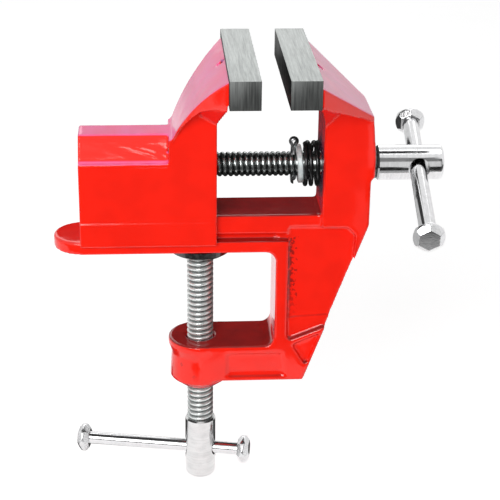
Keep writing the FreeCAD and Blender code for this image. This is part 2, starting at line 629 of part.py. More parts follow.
def make_jaw_pin(name, back, towards, length, drop):
    """Pin from behind the casting into the back of its plate."""
    body = node(name)
    end = f"{back} {towards} jaw_pin_depth"
    start = f"{back} {'-' if towards == '+' else '+'} {length}"
    turn(body, f"{name}_pin", "XZ_Plane", "X_Axis", [
        (start, "0"),
        (end, "0"),
        (end, "jaw_pin_diameter / 2"),
        (start, "jaw_pin_diameter / 2"),
    ])
    bind(body, Placement__Base__z=f"{JAW_TOP} - {drop}")


def make_spindle():
    """Threaded spindle, with its cross hole for the split pin and its end inside the head."""
    body = node("spindle_screw")
    radius = "spindle_diameter / 2"
    turn(body, "spindle_rod", "XZ_Plane", "X_Axis", [
        ("-spindle_reach", "0"),
        (f"{HEAD_FACE} + tenon_length", "0"),
        (f"{HEAD_FACE} + tenon_length", "tenon_diameter / 2"),
        (HEAD_FACE, "tenon_diameter / 2"),
        (HEAD_FACE, radius),
        ("thread_depth - spindle_reach", radius),
        ("-spindle_reach", f"{radius} - thread_depth"),
    ])
    thread(body, "spindle_thread", "X_Axis", "(thread_pitch - spindle_reach)", radius,
           f"{SPLIT_PIN_X} + spindle_reach - split_pin_diameter")
    hole = sketch_on(body, "split_pin_hole_plan", "XY_Plane",
                     circles=[(SPLIT_PIN_X, "0", "split_pin_diameter / 2 + seat_clearance")])
    pocket(body, "split_pin_hole", hole, "2 * spindle_diameter", both_ways=True)
    bind(body, Placement__Base__z="spindle_height")


def make_ring(name, start, thickness, outside, inside):
    """Flat ring round the spindle."""
    body = node(name)
    turn(body, f"{name}_ring", "XZ_Plane", "X_Axis", [
        (start, inside),
        (f"{start} + {thickness}", inside),
        (f"{start} + {thickness}", f"{outside} - edge / 2"),
        (f"{start} + {thickness} - edge / 2", outside),
        (f"{start} + edge / 2", outside),
        (start, f"{outside} - edge / 2"),
    ])
    bind(body, Placement__Base__z="spindle_height")


def make_spindle_nut():
    """Square nut, held by the slider's walls."""
    body = node("spindle_nut")
    square = symmetric([
        ("nut_size / 2", "-nut_size / 2"),
        ("nut_size / 2", "nut_size / 2"),
    ])
    end = f"{NUT_FACE} - nut_length"
    pad(body, "nut_block", sketch_on(body, "nut_square", "YZ_Plane", [square], offset=end), "nut_length")
    bore = sketch_on(body, "nut_bore_plan", "YZ_Plane",
                     circles=[("0", "0", "spindle_diameter / 2 + running_clearance")], offset=end)
    pocket(body, "nut_bore", bore, "nut_length", backwards=True)
    bind(body, Placement__Base__z="spindle_height")


def make_spring():
    """Round wire spring between the washer and the column."""
    helix = doc.addObject("Part::Helix", "spring_path")
    bind(helix, Pitch="spring_rise", Height="spring_turns * spring_rise",
         Radius="spring_diameter / 2 - spring_wire / 2", SegmentLength="spring_segment")
    wire = doc.addObject("Part::Circle", "spring_section")
    wire.Placement.Rotation = FreeCAD.Rotation(FreeCAD.Vector(1, 0, 0), 90)
    bind(wire, Radius="spring_wire / 2", Placement__Base__x="spring_diameter / 2 - spring_wire / 2")
    spring = doc.addObject("Part::Sweep", "pressure_spring")
    spring.Label = "pressure_spring"
    spring.Sections = [wire]
    spring.Spine = (helix, [])
    spring.Solid = True
    spring.Frenet = True
    spring.Placement.Rotation = FreeCAD.Rotation(FreeCAD.Vector(0, 1, 0), 90)
    bind(spring, Placement__Base__x=f"{WASHER_FACE} + seat_clearance + spring_wire / 2",
         Placement__Base__z="spindle_height")
    nodes.append(spring)


def make_split_pin():
    """Split pin: shank through the spindle, eye above it and two spread legs below."""
    radius = "split_pin_diameter / 2"
    shank = doc.addObject("Part::Cylinder", "split_pin_shank")
    bind(shank, Radius=radius, Height=f"spindle_diameter + split_pin_neck + 2 * {radius}",
         Placement__Base__x=SPLIT_PIN_X,
         Placement__Base__z=f"spindle_height - spindle_diameter / 2 - {radius}")
    eye = doc.addObject("Part::Torus", "split_pin_ring")
    eye.Placement.Rotation = FreeCAD.Rotation(FreeCAD.Vector(1, 0, 0), 90)
    bind(eye, Radius1="split_pin_eye - split_pin_wire / 2", Radius2="split_pin_wire / 2")
    bind(eye, Placement__Base__x=SPLIT_PIN_X,
         Placement__Base__z="spindle_height + spindle_diameter / 2 + split_pin_neck + split_pin_eye")
    legs = []
    for name, side in (("front_leg", "-"), ("back_leg", "+")):
        leg = doc.addObject("Part::Cylinder", f"split_pin_{name}")
        leg.Placement.Rotation = FreeCAD.Rotation(FreeCAD.Vector(1, 0, 0), 1)
        bind(leg, Radius="split_pin_wire / 2", Height="split_leg_length")
        bind(leg, Placement__Rotation__Angle=f"180 {side} split_leg_spread",
             Placement__Base__x=SPLIT_PIN_X,
             Placement__Base__z=f"spindle_height - spindle_diameter / 2 - {radius}")
        legs.append(leg)
    pin = doc.addObject("Part::MultiFuse", "split_pin")
    pin.Label = "split_pin"
    pin.Shapes = [shank, eye, *legs]
    nodes.append(pin)


def turned_over(radius=None, side=0):
    """An arc's values for an outline whose two directions are swapped, or nothing for a straight edge."""
    return (radius, -side) if side else ()


def turn_along(body, name, axis, outline):
    """Turned piece on X or Z; a corner is (along the axis, out from it), and may start an arc."""
    if axis == "Z_Axis":
        outline = [(corner[1], corner[0], *turned_over(*corner[2:])) for corner in outline]
    turn(body, name, "XZ_Plane", axis, outline)


def make_head(name, axis, place, away, length, radius, rim, bore_place, bore):
    """Round head on the end of a screw, with a socket for the screw and a cross hole for its bar.

    away is "+" or "-", the way from the screw to the head's free end, whose rim is rounded.
    """
    body = node(name)
    back = "-" if away == "+" else "+"
    end = f"{place} {away} {length}"
    turn_along(body, f"{name}_blank", axis, [
        (place, "0"),
        (end, "0"),
        (end, f"{radius} - {rim}", rim, 1 if away == "+" else -1),
        (f"{end} {back} {rim}", radius),
        (f"{place} {away} edge", radius),
        (place, f"{radius} - edge"),
    ])
    socket = sketch_on(body, f"{name}_socket_plan", ACROSS[axis], circles=[("0", "0", "tenon_diameter / 2")],
                       offset=place)
    pocket(body, f"{name}_socket", socket, "tenon_length", backwards=away == "+")
    if axis == "X_Axis":
        cross = sketch_on(body, f"{name}_hole_plan", "XY_Plane", circles=[(bore_place, "0", bore)])
    else:
        cross = sketch_on(body, f"{name}_hole_plan", "YZ_Plane", circles=[("0", bore_place, bore)])
    pocket(body, f"{name}_hole", cross, f"4 * {radius}", both_ways=True)
    return body


def make_bar(name, axis, low, high, radius, knob_length):
    """Handle bar along its own axis, with a thinner end inside each knob."""
    body = node(name)
    thin = f"{radius} * bar_tenon_share"
    turn_along(body, f"{name}_rod", axis, [
        (f"{low} - {knob_length} / 2", "0"),
        (f"{high} + {knob_length} / 2", "0"),
        (f"{high} + {knob_length} / 2", thin),
        (f"{high} - {knob_length} / 2", thin),
        (f"{high} - {knob_length} / 2", radius),
        (f"{low} + {knob_length} / 2", radius),
        (f"{low} + {knob_length} / 2", thin),
        (f"{low} - {knob_length} / 2", thin),
    ])
    return body


def hexagon(reach):
    """Corners of a hexagon with one corner up; reach is from its middle to a flat."""
    corner = f"({reach} * {CORNER_REACH})"
    return [
        ("0", corner),
        (f"-({reach})", f"{corner} / 2"),
        (f"-({reach})", f"-{corner} / 2"),
        ("0", f"-{corner}"),
        (reach, f"-{corner} / 2"),
        (reach, f"{corner} / 2"),
    ]


def make_knob(name, axis, centre, length, radius, inside):
    """Six-sided knob that tapers to both ends from a round rim, on the end of a bar."""
    body = node(name)
    face = f"{radius} * knob_face_share"
    sections = []
    for place, reach in (("- {0} / 2", face), ("- knob_rim / 2", radius), ("+ knob_rim / 2", radius),
                         ("+ {0} / 2", face)):
        sections.append(sketch_on(body, f"{name}_section_{len(sections)}", ACROSS[axis], [hexagon(reach)],
                                  offset=f"{centre} {place.format(length)}"))
        sections[-1].Visibility = False
    facets = body.newObject("PartDesign::AdditiveLoft", f"{name}_facets")
    facets.Profile = sections[0]
    facets.Sections = sections[1:]
    facets.Ruled = True
    rim = sketch_on(body, f"{name}_rim_plan", ACROSS[axis], offset=centre,
                    circles=[("0", "0", radius), ("0", "0", f"2 * {radius}")])
    pocket(body, f"{name}_rim", rim, length, both_ways=True)
    bore = sketch_on(body, f"{name}_bore_plan", ACROSS[axis], circles=[("0", "0", inside)], offset=centre)
    pocket(body, f"{name}_bore", bore, f"2 * {length}", both_ways=True)
    return body


def set_down(body, along, height, turned="0", leaning="0"):
    """Put a body at a place in the middle plane, leaning about X and then turned about Z, in degrees."""
    place = f"create(<<vector>>; {along}; 0; {height})"
    rotation = f"create(<<rotation>>; {turned}; 0; {leaning})"
    bind(body, Placement=f"create(<<placement>>; {place}; {rotation})")


def make_spindle_handle():
    """Bar and two knobs through the spindle's head, leaning about the spindle axis."""
    radius = "handle_diameter / 2"
    tenon = f"{radius} * bar_tenon_share"
    knob = "knob_diameter / 2"
    parts = [
        make_bar("spindle_handle_bar", "Z_Axis", "-handle_front", "handle_rear", radius, "knob_length"),
        make_knob("spindle_handle_knob_top", "Z_Axis", "handle_rear", "knob_length", knob, tenon),
        make_knob("spindle_handle_knob_bottom", "Z_Axis", "-handle_front", "knob_length", knob, tenon),
    ]
    for part in parts:
        set_down(part, HANDLE_X, "spindle_height", "-handle_swing", "-handle_tilt")


def make_clamp_screw():
    """Clamp screw, with a tip that turns in the pad."""
    body = node("clamp_screw")
    radius = "clamp_diameter / 2"
    turn_along(body, "clamp_rod", "Z_Axis", [
        (f"{SCREW_TOP} + tip_length", "0"),
        (f"{SCREW_TOP} + tip_length", "tip_diameter / 2"),
        (SCREW_TOP, "tip_diameter / 2"),
        (SCREW_TOP, f"{radius} - thread_depth"),
        (f"{SCREW_TOP} - thread_depth", radius),
        (CLAMP_HEAD_TOP, radius),
        (CLAMP_HEAD_TOP, "tenon_diameter / 2"),
        (f"{CLAMP_HEAD_TOP} - tenon_length", "tenon_diameter / 2"),
        (f"{CLAMP_HEAD_TOP} - tenon_length", "0"),
    ])
    thread(body, "clamp_thread", "Z_Axis", f"({SCREW_TOP} - thread_pitch)", radius,
           "clamp_length - thread_pitch")


def make_clamp_pad():
    """Pressure pad, with a blind hole for the tip of the screw."""
    body = node("clamp_pad")
    hole = "tip_diameter / 2 + running_clearance"
    turn_along(body, "pad_disc", "Z_Axis", [
        ("-pad_gap", "0"),
        ("-pad_gap", "pad_diameter / 2"),
        (f"{PAD_BOTTOM} + 2 * edge", "pad_diameter / 2"),
        (PAD_BOTTOM, "pad_diameter / 2 - 3 * edge"),
        (PAD_BOTTOM, hole),
        (f"{PAD_BOTTOM} + tip_length", hole),
        (f"{PAD_BOTTOM} + tip_length", "0"),
    ])


def make_clamp_handle():
    """Bar and two knobs through the clamp screw's head."""
    radius = "tommy_diameter / 2"
    tenon = f"{radius} * bar_tenon_share"
    knob = "tommy_knob_diameter / 2"
    bar = make_bar("clamp_handle_bar", "X_Axis", "-tommy_left", "tommy_right", radius, "tommy_knob_length")
    set_down(bar, "0", TOMMY_Z, "-tommy_turn")
    for side, centre in (("left", "-tommy_left"), ("right", "tommy_right")):
        end = make_knob(f"clamp_handle_knob_{side}", "X_Axis", centre, "tommy_knob_length", knob, tenon)
        set_down(end, "0", TOMMY_Z, "-tommy_turn", "-tommy_knob_turn")


make_frame_body()
make_moving_jaw_body()
make_jaw_plate("fixed_jaw_plate", FIXED_JAW_BACK, "-", "fixed_pin_drop")
make_jaw_plate("moving_jaw_plate", "moving_jaw_back", "+", "moving_pin_drop")
make_jaw_pin("fixed_jaw_pin", FIXED_JAW_BACK, "-", "fixed_pin_length", "fixed_pin_drop")
make_jaw_pin("moving_jaw_pin", "moving_jaw_back", "+", "moving_pin_length", "moving_pin_drop")
make_spindle()
make_spindle_nut()
make_ring("spring_washer", f"{WASHER_FACE} - washer_thickness", "washer_thickness", "washer_diameter / 2",
          "spindle_diameter / 2 + running_clearance")
make_ring("thrust_collar", COLLAR_FACE, "collar_thickness", "spindle_diameter / 2 + collar_rim",
          "spindle_diameter / 2 + running_clearance")
make_spring()
make_split_pin()
spindle_head = make_head("spindle_head", "X_Axis", HEAD_FACE, "+", "head_length", "head_diameter / 2",
                         "head_round", HANDLE_X, "handle_diameter / 2 + handle_clearance")
set_down(spindle_head, "0", "spindle_height", "0", "-head_bore_tilt")
make_spindle_handle()
make_clamp_screw()
make_clamp_pad()
clamp_head = make_head("clamp_head", "Z_Axis", CLAMP_HEAD_TOP, "-", "clamp_head_length",
                       "clamp_head_diameter / 2", "clamp_head_round", TOMMY_Z,
                       "tommy_diameter / 2 + tommy_clearance")
set_down(clamp_head, "0", "0", "-tommy_turn")
make_clamp_handle()
doc.recompute()

for item in doc.Objects:
    if "Invalid" in item.State or "Error" in item.State:
        raise RuntimeError(f"{item.Label}: {item.State}")
os.makedirs("parts", exist_ok=True)
for item in nodes:
    if item.Shape.isNull() or not item.Shape.isValid():
        raise RuntimeError(f"{item.Label} has no sound shape")
    print(f"{item.Label}: {item.Shape.Volume:.0f} mm3, {item.Shape.BoundBox}")
    item.Shape.exportStep(f"parts/{item.Label}.step")
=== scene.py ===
"""Dress a small vise that clamps to the edge of a table.

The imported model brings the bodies, nodes and joints. This script gives it soft cast edges, true
screw threads, a coiled spring, a bent split pin and all its finishes, then sets up the studio.
"""
import logging
import math
from dataclasses import dataclass
from enum import Enum
from typing import Callable, Optional, Sequence, Union

import bmesh
import bpy
from mathutils import Matrix, Vector


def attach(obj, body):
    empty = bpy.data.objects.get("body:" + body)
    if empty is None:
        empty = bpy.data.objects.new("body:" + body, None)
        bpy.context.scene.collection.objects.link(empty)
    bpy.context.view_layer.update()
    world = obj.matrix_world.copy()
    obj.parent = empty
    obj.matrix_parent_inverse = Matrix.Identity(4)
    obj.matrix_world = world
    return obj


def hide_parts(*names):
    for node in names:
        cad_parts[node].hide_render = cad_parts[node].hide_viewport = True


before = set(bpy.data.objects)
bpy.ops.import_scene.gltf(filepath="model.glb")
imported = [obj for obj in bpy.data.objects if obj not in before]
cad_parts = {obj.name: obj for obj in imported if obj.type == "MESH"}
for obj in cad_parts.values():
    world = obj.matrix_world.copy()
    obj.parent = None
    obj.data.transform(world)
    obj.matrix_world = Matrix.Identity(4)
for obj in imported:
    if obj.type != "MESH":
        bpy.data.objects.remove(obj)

log = logging.getLogger("vise")

MM = 0.001
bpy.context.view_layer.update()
# Sizes in millimetres that shapes and finishes share.
SPINDLE_HEIGHT = 26.2
SPINDLE_ROOT, SPINDLE_CREST = 3.4, 3.85
CLAMP_ROOT, CLAMP_CREST = 3.35, 4.3
SLACK = 0.02  # A point this near a plane or line counts as on it.
FINE_CUT = 1e-6  # Metres. A cut merges points nearer than this.
FLAT_ANGLE = 0.3  # Degrees. Faces that meet at less than this are one flat.

Triple = tuple[float, float, float]
Piece = bpy.types.Object
Socket = bpy.types.NodeSocket
Value = Union[float, int, Sequence[float], Socket]
Feeds = dict[Union[str, int], Value]
ops = bpy.ops.mesh


class Axis(Enum):
    """A direction of the frame that a screw lies along."""

    X = 0
    Z = 2


class Part(Enum):
    """What a pick in edit mode selects."""

    VERTS = "VERT"
    FACES = "FACE"


class Limit(Enum):
    """The side of a limit that a number has to lie on."""

    BELOW = "LESS_THAN"
    ABOVE = "GREATER_THAN"


class Side(Enum):
    """The way that a card faces."""

    FRONT = (0.0, -1.0, 0.0)
    BACK = (0.0, 1.0, 0.0)
    LEFT = (-1.0, 0.0, 0.0)
    RIGHT = (1.0, 0.0, 0.0)
    UP = (0.0, 0.0, 1.0)
    DOWN = (0.0, 0.0, -1.0)


def metres(point: Sequence[float]) -> Vector:
    """Return a point given in millimetres as metres."""
    return Vector(point) * MM


class Bench:
    """Operator steps that all the pieces share."""

    @staticmethod
    def clear() -> None:
        """Leave edit mode with nothing selected."""
        active = bpy.context.view_layer.objects.active
        if active is not None and active.mode != "OBJECT":
            bpy.ops.object.mode_set(mode="OBJECT")
        bpy.ops.object.select_all(action="DESELECT")

    @staticmethod
    def take(piece: Piece) -> None:
        """Select one piece alone and make it active.

        Args:
            piece: The piece.
        """
        Bench.clear()
        piece.select_set(True)
        bpy.context.view_layer.objects.active = piece

    @staticmethod
    def edit(piece: Piece) -> None:
        """Open one piece in edit mode with all of it selected.

        Args:
            piece: The piece.
        """
        Bench.take(piece)
        bpy.ops.object.mode_set(mode="EDIT")
        ops.select_mode(type="VERT")
        ops.select_all(action="SELECT")

    @staticmethod
    def new(name: str, add: Callable[..., object], **settings: object) -> Piece:
        """Add a primitive with nothing else selected, and put its place and turn in its mesh.

        Args:
            name: Name of the piece and its data.
            add: The operator that adds it.
            **settings: The operator's values.

        Returns:
            The new piece.
        """
        Bench.clear()
        add(**settings)
        piece = bpy.context.view_layer.objects.active
        piece.name = piece.data.name = name
        if piece.type == "MESH":
            Bench.settle(piece)
        return piece

    @staticmethod
    def settle(piece: Piece) -> None:
        """Put a piece's place, turn and size into its mesh.

        Args:
            piece: The piece.
        """
        Bench.take(piece)
        bpy.ops.object.transform_apply(location=True, rotation=True, scale=True)
        Bench.clear()

    @staticmethod
    def pick(piece: Piece, wanted: Callable[[Vector, Vector], bool],
             part: Part = Part.FACES) -> None:
        """Select what a rule wants, in a piece that is open in edit mode.

        Args:
            piece: The open piece.
            wanted: Told the place in millimetres and the normal of each, says if it is wanted.
            part: Whether vertices or faces are looked at.
        """
        ops.select_mode(type=part.value)
        ops.select_all(action="DESELECT")
        shell = bmesh.from_edit_mesh(piece.data)
        for element in shell.verts if part is Part.VERTS else shell.faces:
            place = element.co if part is Part.VERTS else element.calc_center_median()
            if wanted(place / MM, element.normal):
                element.select_set(True)
        shell.select_flush_mode()
        bmesh.update_edit_mesh(piece.data)

    @staticmethod
    def drag(x: float, y: float, z: float) -> None:
        """Extrude the selection by millimetres along the three directions."""
        ops.extrude_region_move(TRANSFORM_OT_translate={"value": metres((x, y, z))})

    @staticmethod
    def tidy(piece: Piece, gap: float = 0.001) -> None:
        """Join doubled vertices and point the faces outwards.

        Args:
            piece: The piece to tidy.
            gap: Vertices nearer than this, in millimetres, become one.
        """
        Bench.edit(piece)
        ops.remove_doubles(threshold=gap * MM)
        ops.normals_make_consistent(inside=False)
        Bench.clear()

    @staticmethod
    def modify(piece: Piece, kind: str, **settings: object) -> None:
        """Add a modifier, set it up and apply it.

        Args:
            piece: The piece that gets the modifier.
            kind: Blender's name of the modifier.
            **settings: Its values.
        """
        Bench.take(piece)
        bpy.ops.object.modifier_add(type=kind)
        step = piece.modifiers[-1]
        for name, value in settings.items():
            setattr(step, name, value)
        bpy.ops.object.modifier_apply(modifier=step.name)

    @staticmethod
    def bevel(piece: Piece, width: float, segments: int, degrees: float) -> None:
        """Round the edges where faces meet at more than an angle.

        Args:
            piece: The piece to round.
            width: How wide the rounding is, in millimetres.
            segments: How many steps it has.
            degrees: The angle.
        """
        Bench.modify(piece, "BEVEL", width=width * MM, segments=segments,
                     angle_limit=math.radians(degrees))

    @staticmethod
    def smooth(piece: Piece, degrees: float = 40.0) -> None:
        """Shade a piece smooth, with hard lines where faces meet at more than an angle.

        Args:
            piece: The piece.
            degrees: The angle.
        """
        Bench.take(piece)
        bpy.ops.object.shade_smooth_by_angle(angle=math.radians(degrees))
        Bench.clear()

    @staticmethod
    def join(name: str, pieces: Sequence[Piece]) -> Piece:
        """Join several meshes into the first one.

        Args:
            name: Its new name.
            pieces: The meshes.

        Returns:
            The first piece, which now holds them all.
        """
        Bench.clear()
        for piece in pieces:
            piece.select_set(True)
        first = bpy.context.view_layer.objects.active = pieces[0]
        bpy.ops.object.join()
        first.name = first.data.name = name
        return first

    @staticmethod
    def copy_node(node: str, name: str) -> Piece:
        """Copy a node's mesh, with its loose triangles joined and its flats made whole.

        Args:
            node: Which node is copied.
            name: Name of the new piece.

        Returns:
            The new piece.
        """
        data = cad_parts[node].data.copy()
        data.materials.clear()
        piece = bpy.data.objects.new(name, data)
        bpy.context.scene.collection.objects.link(piece)
        Bench.take(piece)
        if data.has_custom_normals:
            ops.customdata_custom_splitnormals_clear()
        Bench.tidy(piece)
        Bench.edit(piece)
        ops.dissolve_limited(angle_limit=math.radians(FLAT_ANGLE))
        Bench.clear()
        return piece


class Graph:
    """Short way to place shader nodes and join them."""

    def __init__(self, tree: bpy.types.NodeTree) -> None:
        """Start with the tree that the nodes go in."""
        self.tree = tree

    @classmethod
    def fresh(cls, owner: Union[bpy.types.Material, bpy.types.World]) -> "Graph":
        """Turn a material's or world's nodes on and take them all out.

        Args:
            owner: The material or world.

        Returns:
            Its empty graph.
        """
        owner.use_nodes = True
        owner.node_tree.nodes.clear()
        return cls(owner.node_tree)

    def feed(self, node: bpy.types.Node, inputs: Feeds) -> None:
        """Set a node's inputs to constants, or join them to other nodes' outputs.

        Args:
            node: The node.
            inputs: What feeds each input, by its name or number.
        """
        for key, value in inputs.items():
            if isinstance(value, Socket):
                self.tree.links.new(value, node.inputs[key])
            else:
                node.inputs[key].default_value = value

    def add(self, kind: str, inputs: Optional[Feeds] = None, out: Union[str, int] = 0,
            **settings: object) -> Optional[Socket]:
        """Add a node and feed its inputs.

        Args:
            kind: The node's type without the leading "ShaderNode".
            inputs: What feeds each input, by its name or number.
            out: Which output is returned.
            **settings: The node's own settings.

        Returns:
            The chosen output, if it has any.
        """
        node = self.tree.nodes.new("ShaderNode" + kind)
        for name, value in settings.items():
            setattr(node, name, value)
        self.feed(node, inputs or {})
        return node.outputs[out] if node.outputs else None

    def place(self) -> Socket:
        """Return the point on the piece, in metres."""
        return self.add("TexCoord", out="Object")

    def bend(self) -> Socket:
        """Return how sharply the surface bends, from hollow at 0 to an edge at 1."""
        return self.add("NewGeometry", out="Pointiness")

    def look(self) -> bpy.types.NodeOutputs:
        """Return the three parts of the way that the surface looks."""
        return self.split(self.add("TexCoord", out="Normal"))

    def split(self, vector: Socket) -> bpy.types.NodeOutputs:
        """Return the three parts of a vector."""
        return self.add("SeparateXYZ", {0: vector}).node.outputs

    def mix(self, share: Value, low: Value, high: Value) -> Socket:
        """Return a colour between two colours."""
        return self.add("Mix", {0: share, 6: low, 7: high}, out=2, data_type="RGBA")

    def span(self, value: Value, low: Value, high: Value, start: float = 0.0,
             stop: float = 1.0) -> Socket:
        """Return a number as far from start to stop as a value is from low to high."""
        return self.add("MapRange", {"Value": value, 1: low, 2: high, 3: start, 4: stop})

    def scale(self, share: Value, low: float, high: float) -> Socket:
        """Return a number between two numbers for a share from 0 to 1."""
        return self.span(share, 0.0, 1.0, low, high)

    def sum(self, first: Value, second: Value, operation: str = "ADD") -> Socket:
        """Return two numbers added up, or joined by another operation."""
        return self.add("Math", {0: first, 1: second}, operation=operation)

    def times(self, first: Value, second: Value) -> Socket:
        """Return the product of two numbers."""
        return self.sum(first, second, "MULTIPLY")

    def size(self, value: Socket) -> Socket:
        """Return a number without its sign."""
        return self.add("Math", {0: value}, operation="ABSOLUTE")

    def where(self, mask: Socket, *tests: tuple[Value, Value, Limit]) -> Socket:
        """Keep a mask only in some places.

        Args:
            mask: The mask.
            *tests: Numbers, each with a limit and the side of it to keep.

        Returns:
            The mask, and 0 where a test fails.
        """
        for value, limit, side in tests:
            mask = self.times(mask, self.sum(value, limit, side.value))
        return mask

    def noise(self, scale: Value, detail: float, stretch: Optional[Value] = None,
              **more: Value) -> Socket:
        """Return a noise over the piece.

        Args:
            scale: How fine it is.
            detail: How many finer layers it has.
            stretch: How fine it is along each direction, if not the same along all.
            **more: Other inputs of the noise node.

        Returns:
            A number from 0 to 1.
        """
        place = self.place()
        if stretch is not None:
            place = self.add("VectorMath", {0: place, 1: stretch}, operation="MULTIPLY")
        return self.add("TexNoise", {"Vector": place, "Scale": scale, "Detail": detail, **more})

    def reach(self, centre: Value, across: Value) -> Socket:
        """Measure from an axis.

        Args:
            centre: A point on it.
            across: 1 for the directions across it and 0 for its own.

        Returns:
            How far the point on the piece is from it.
        """
        off = self.add("VectorMath", {0: self.place(), 1: centre}, operation="SUBTRACT")
        flat = self.add("VectorMath", {0: off, 1: across}, operation="MULTIPLY")
        return self.add("VectorMath", {0: flat}, out="Value", operation="LENGTH")

    def bump(self, height: Socket, depth: float) -> Socket:
        """Return a normal for a height map that is some millimetres deep."""
        return self.add("Bump", {"Height": height, "Strength": 1.0, "Distance": depth * MM})


class Effect(Graph):
    """A surface effect that finishes share: one node group, which wires itself up."""

    title = "Effect"
    takes: dict[str, Value] = {}
    gives: tuple[str, ...] = ("Mask",)

    def __init__(self) -> None:
        """Build the node group."""
        super().__init__(bpy.data.node_groups.new(self.title, "ShaderNodeTree"))
        for name, value in self.takes.items():
            kind = "NodeSocketFloat" if isinstance(value, float) else "NodeSocketVector"
            socket = self.tree.interface.new_socket(name=name, in_out="INPUT", socket_type=kind)
            socket.default_value = value
        for name in self.gives:
            self.tree.interface.new_socket(name=name, in_out="OUTPUT",
                                           socket_type="NodeSocketFloat")
        self.given = self.tree.nodes.new("NodeGroupInput").outputs
        self.feed(self.tree.nodes.new("NodeGroupOutput"), self.wire())

    def __getitem__(self, name: str) -> Socket:
        """Return one of the group's inputs."""
        return self.given[name]

    @classmethod
    def use(cls, graph: Graph, values: Optional[Feeds] = None, out: str = "Mask") -> Socket:
        """Place the effect in a material.

        Args:
            graph: The material's nodes.
            values: The inputs that aren't at their usual value.
            out: Which output is returned.

        Returns:
            The chosen output.
        """
        known = bpy.data.node_groups.get(cls.title)
        return graph.add("Group", values, out, node_tree=known or cls().tree)

    def wire(self) -> dict[str, Socket]:
        """Build the nodes between the group's inputs and outputs.

        Returns:
            What feeds each output.
        """
        raise NotImplementedError


class CastRipple(Effect):
    """Slow waves and fine peel of thick enamel on a rough casting."""

    title = "Cast Ripple"
    takes = {"Wave Scale": 130.0, "Peel Scale": 1400.0, "Peel Share": 0.05}
    gives = ("Height", "Shade")

    def wire(self) -> dict[str, Socket]:
        """Add slow noise and a little fine noise.

        Returns:
            What feeds each output.
        """
        wave = self.noise(self["Wave Scale"], 1.0)
        fine = self.times(self.noise(self["Peel Scale"], 1.0), self["Peel Share"])
        return {"Height": self.sum(wave, fine), "Shade": wave}


class ToolMarks(Effect):
    """Fine marks that a tool leaves along one direction."""

    title = "Tool Marks"
    takes = {"Stretch": (1.0, 1.0, 1.0), "Scale": 1.0, "Roughen": 0.6}
    gives = ("Height", "Shade")

    def wire(self) -> dict[str, Socket]:
        """Stretch a detailed noise along the marks.

        Returns:
            What feeds each output.
        """
        marks = self.noise(self["Scale"], 4.0, self["Stretch"], Roughness=self["Roughen"])
        return {"Height": marks, "Shade": self.span(marks, 0.3, 0.7)}


class EdgeRubAndDarkReflection(Effect):
    """Mask of edges, broken up by noise: worn bright on steel, and on the enamel a painted dark
    reflection.
    """

    title = "Edge Rub And Dark Reflection"
    takes = {"Low": 0.52, "High": 0.60, "Patch Scale": 300.0}

    def wire(self) -> dict[str, Socket]:
        """Take the bend of the surface and break it up.

        Returns:
            What feeds each output.
        """
        edge = self.span(self.bend(), self["Low"], self["High"])
        patch = self.noise(self["Patch Scale"], 3.0)
        return {"Mask": self.times(edge, self.span(patch, 0.4, 0.62))}


class Grime(Effect):
    """Soft dark film in patches, as oil and dust leave on bare metal."""

    title = "Grime"
    takes = {"Scale": 250.0, "Low": 0.45, "High": 0.7}

    def wire(self) -> dict[str, Socket]:
        """Return patches that are cut out of a noise."""
        return {"Mask": self.span(self.noise(self["Scale"], 5.0), self["Low"], self["High"])}


class OilAndShadeFilm(Effect):
    """Dark oily film with painted shade on the rail and arm tops, and painted shade with an oily
    film round the screw on the column's inner face, behind the spring.
    """

    title = "Oil And Shade Film"
    takes = {"Screw": (0.0, 0.0, SPINDLE_HEIGHT * MM), "Reach": 0.0095, "Ragged": 0.004,
             "Face": 0.0384, "Back": 0.0345, "Top": 0.0126, "Half Width": 0.0101,
             "Start": -0.015, "Patch Scale": 220.0}
    gives = ("Slide", "Ring")

    def wire(self) -> dict[str, Socket]:
        """Bound the two films by place and by which way the surface looks.

        Returns:
            What feeds each output.
        """
        spot, look = self.split(self.place()), self.look()
        patch = self.noise(self["Patch Scale"], 3.0)
        slide = self.where(self.span(look[2], 0.35, 0.7),
                           (spot[2], self["Top"], Limit.BELOW),
                           (spot[0], self["Start"], Limit.ABOVE),
                           (self.size(spot[1]), self["Half Width"], Limit.BELOW))
        reach = self.sum(self.reach(self["Screw"], (0.0, 1.0, 1.0)),
                         self.times(patch, self["Ragged"]), "SUBTRACT")
        inner = self.sum(self["Reach"], self["Ragged"], "SUBTRACT")
        ring = self.where(self.span(reach, inner, self["Reach"], 1.0, 0.0),
                          (spot[0], self["Face"], Limit.BELOW), (look[0], -0.3, Limit.BELOW),
                          (spot[0], self["Back"], Limit.ABOVE))
        return {"Slide": self.times(slide, self.scale(patch, 0.75, 1.0)), "Ring": ring}


class CastPitsAndShade(Effect):
    """Dark pits where the casting was left rough, with painted shade, in the corner beside the
    inner rib.
    """

    title = "Cast Pits And Shade"
    takes = {"Left": 0.0276, "Right": 0.0308, "Low": -0.025, "Full": -0.012, "High": 0.0045,
             "Scale": 800.0}

    def wire(self) -> dict[str, Socket]:
        """Bound the pits by place, thinner to the right and below.

        Returns:
            What feeds each output.
        """
        spot = self.split(self.place())
        grain = self.noise(self["Scale"], 4.0)
        level = self.span(spot[0], self["Left"], self["Right"], 0.56, 0.36)
        pits = self.span(self.sum(grain, level, "SUBTRACT"), -0.02, 0.05, 1.0, 0.0)
        pits = self.times(pits, self.span(spot[2], self["Low"], self["Full"]))
        return {"Mask": self.where(pits, (spot[0], self["Left"], Limit.ABOVE),
                                   (spot[0], self["Right"], Limit.BELOW),
                                   (spot[2], self["High"], Limit.BELOW))}


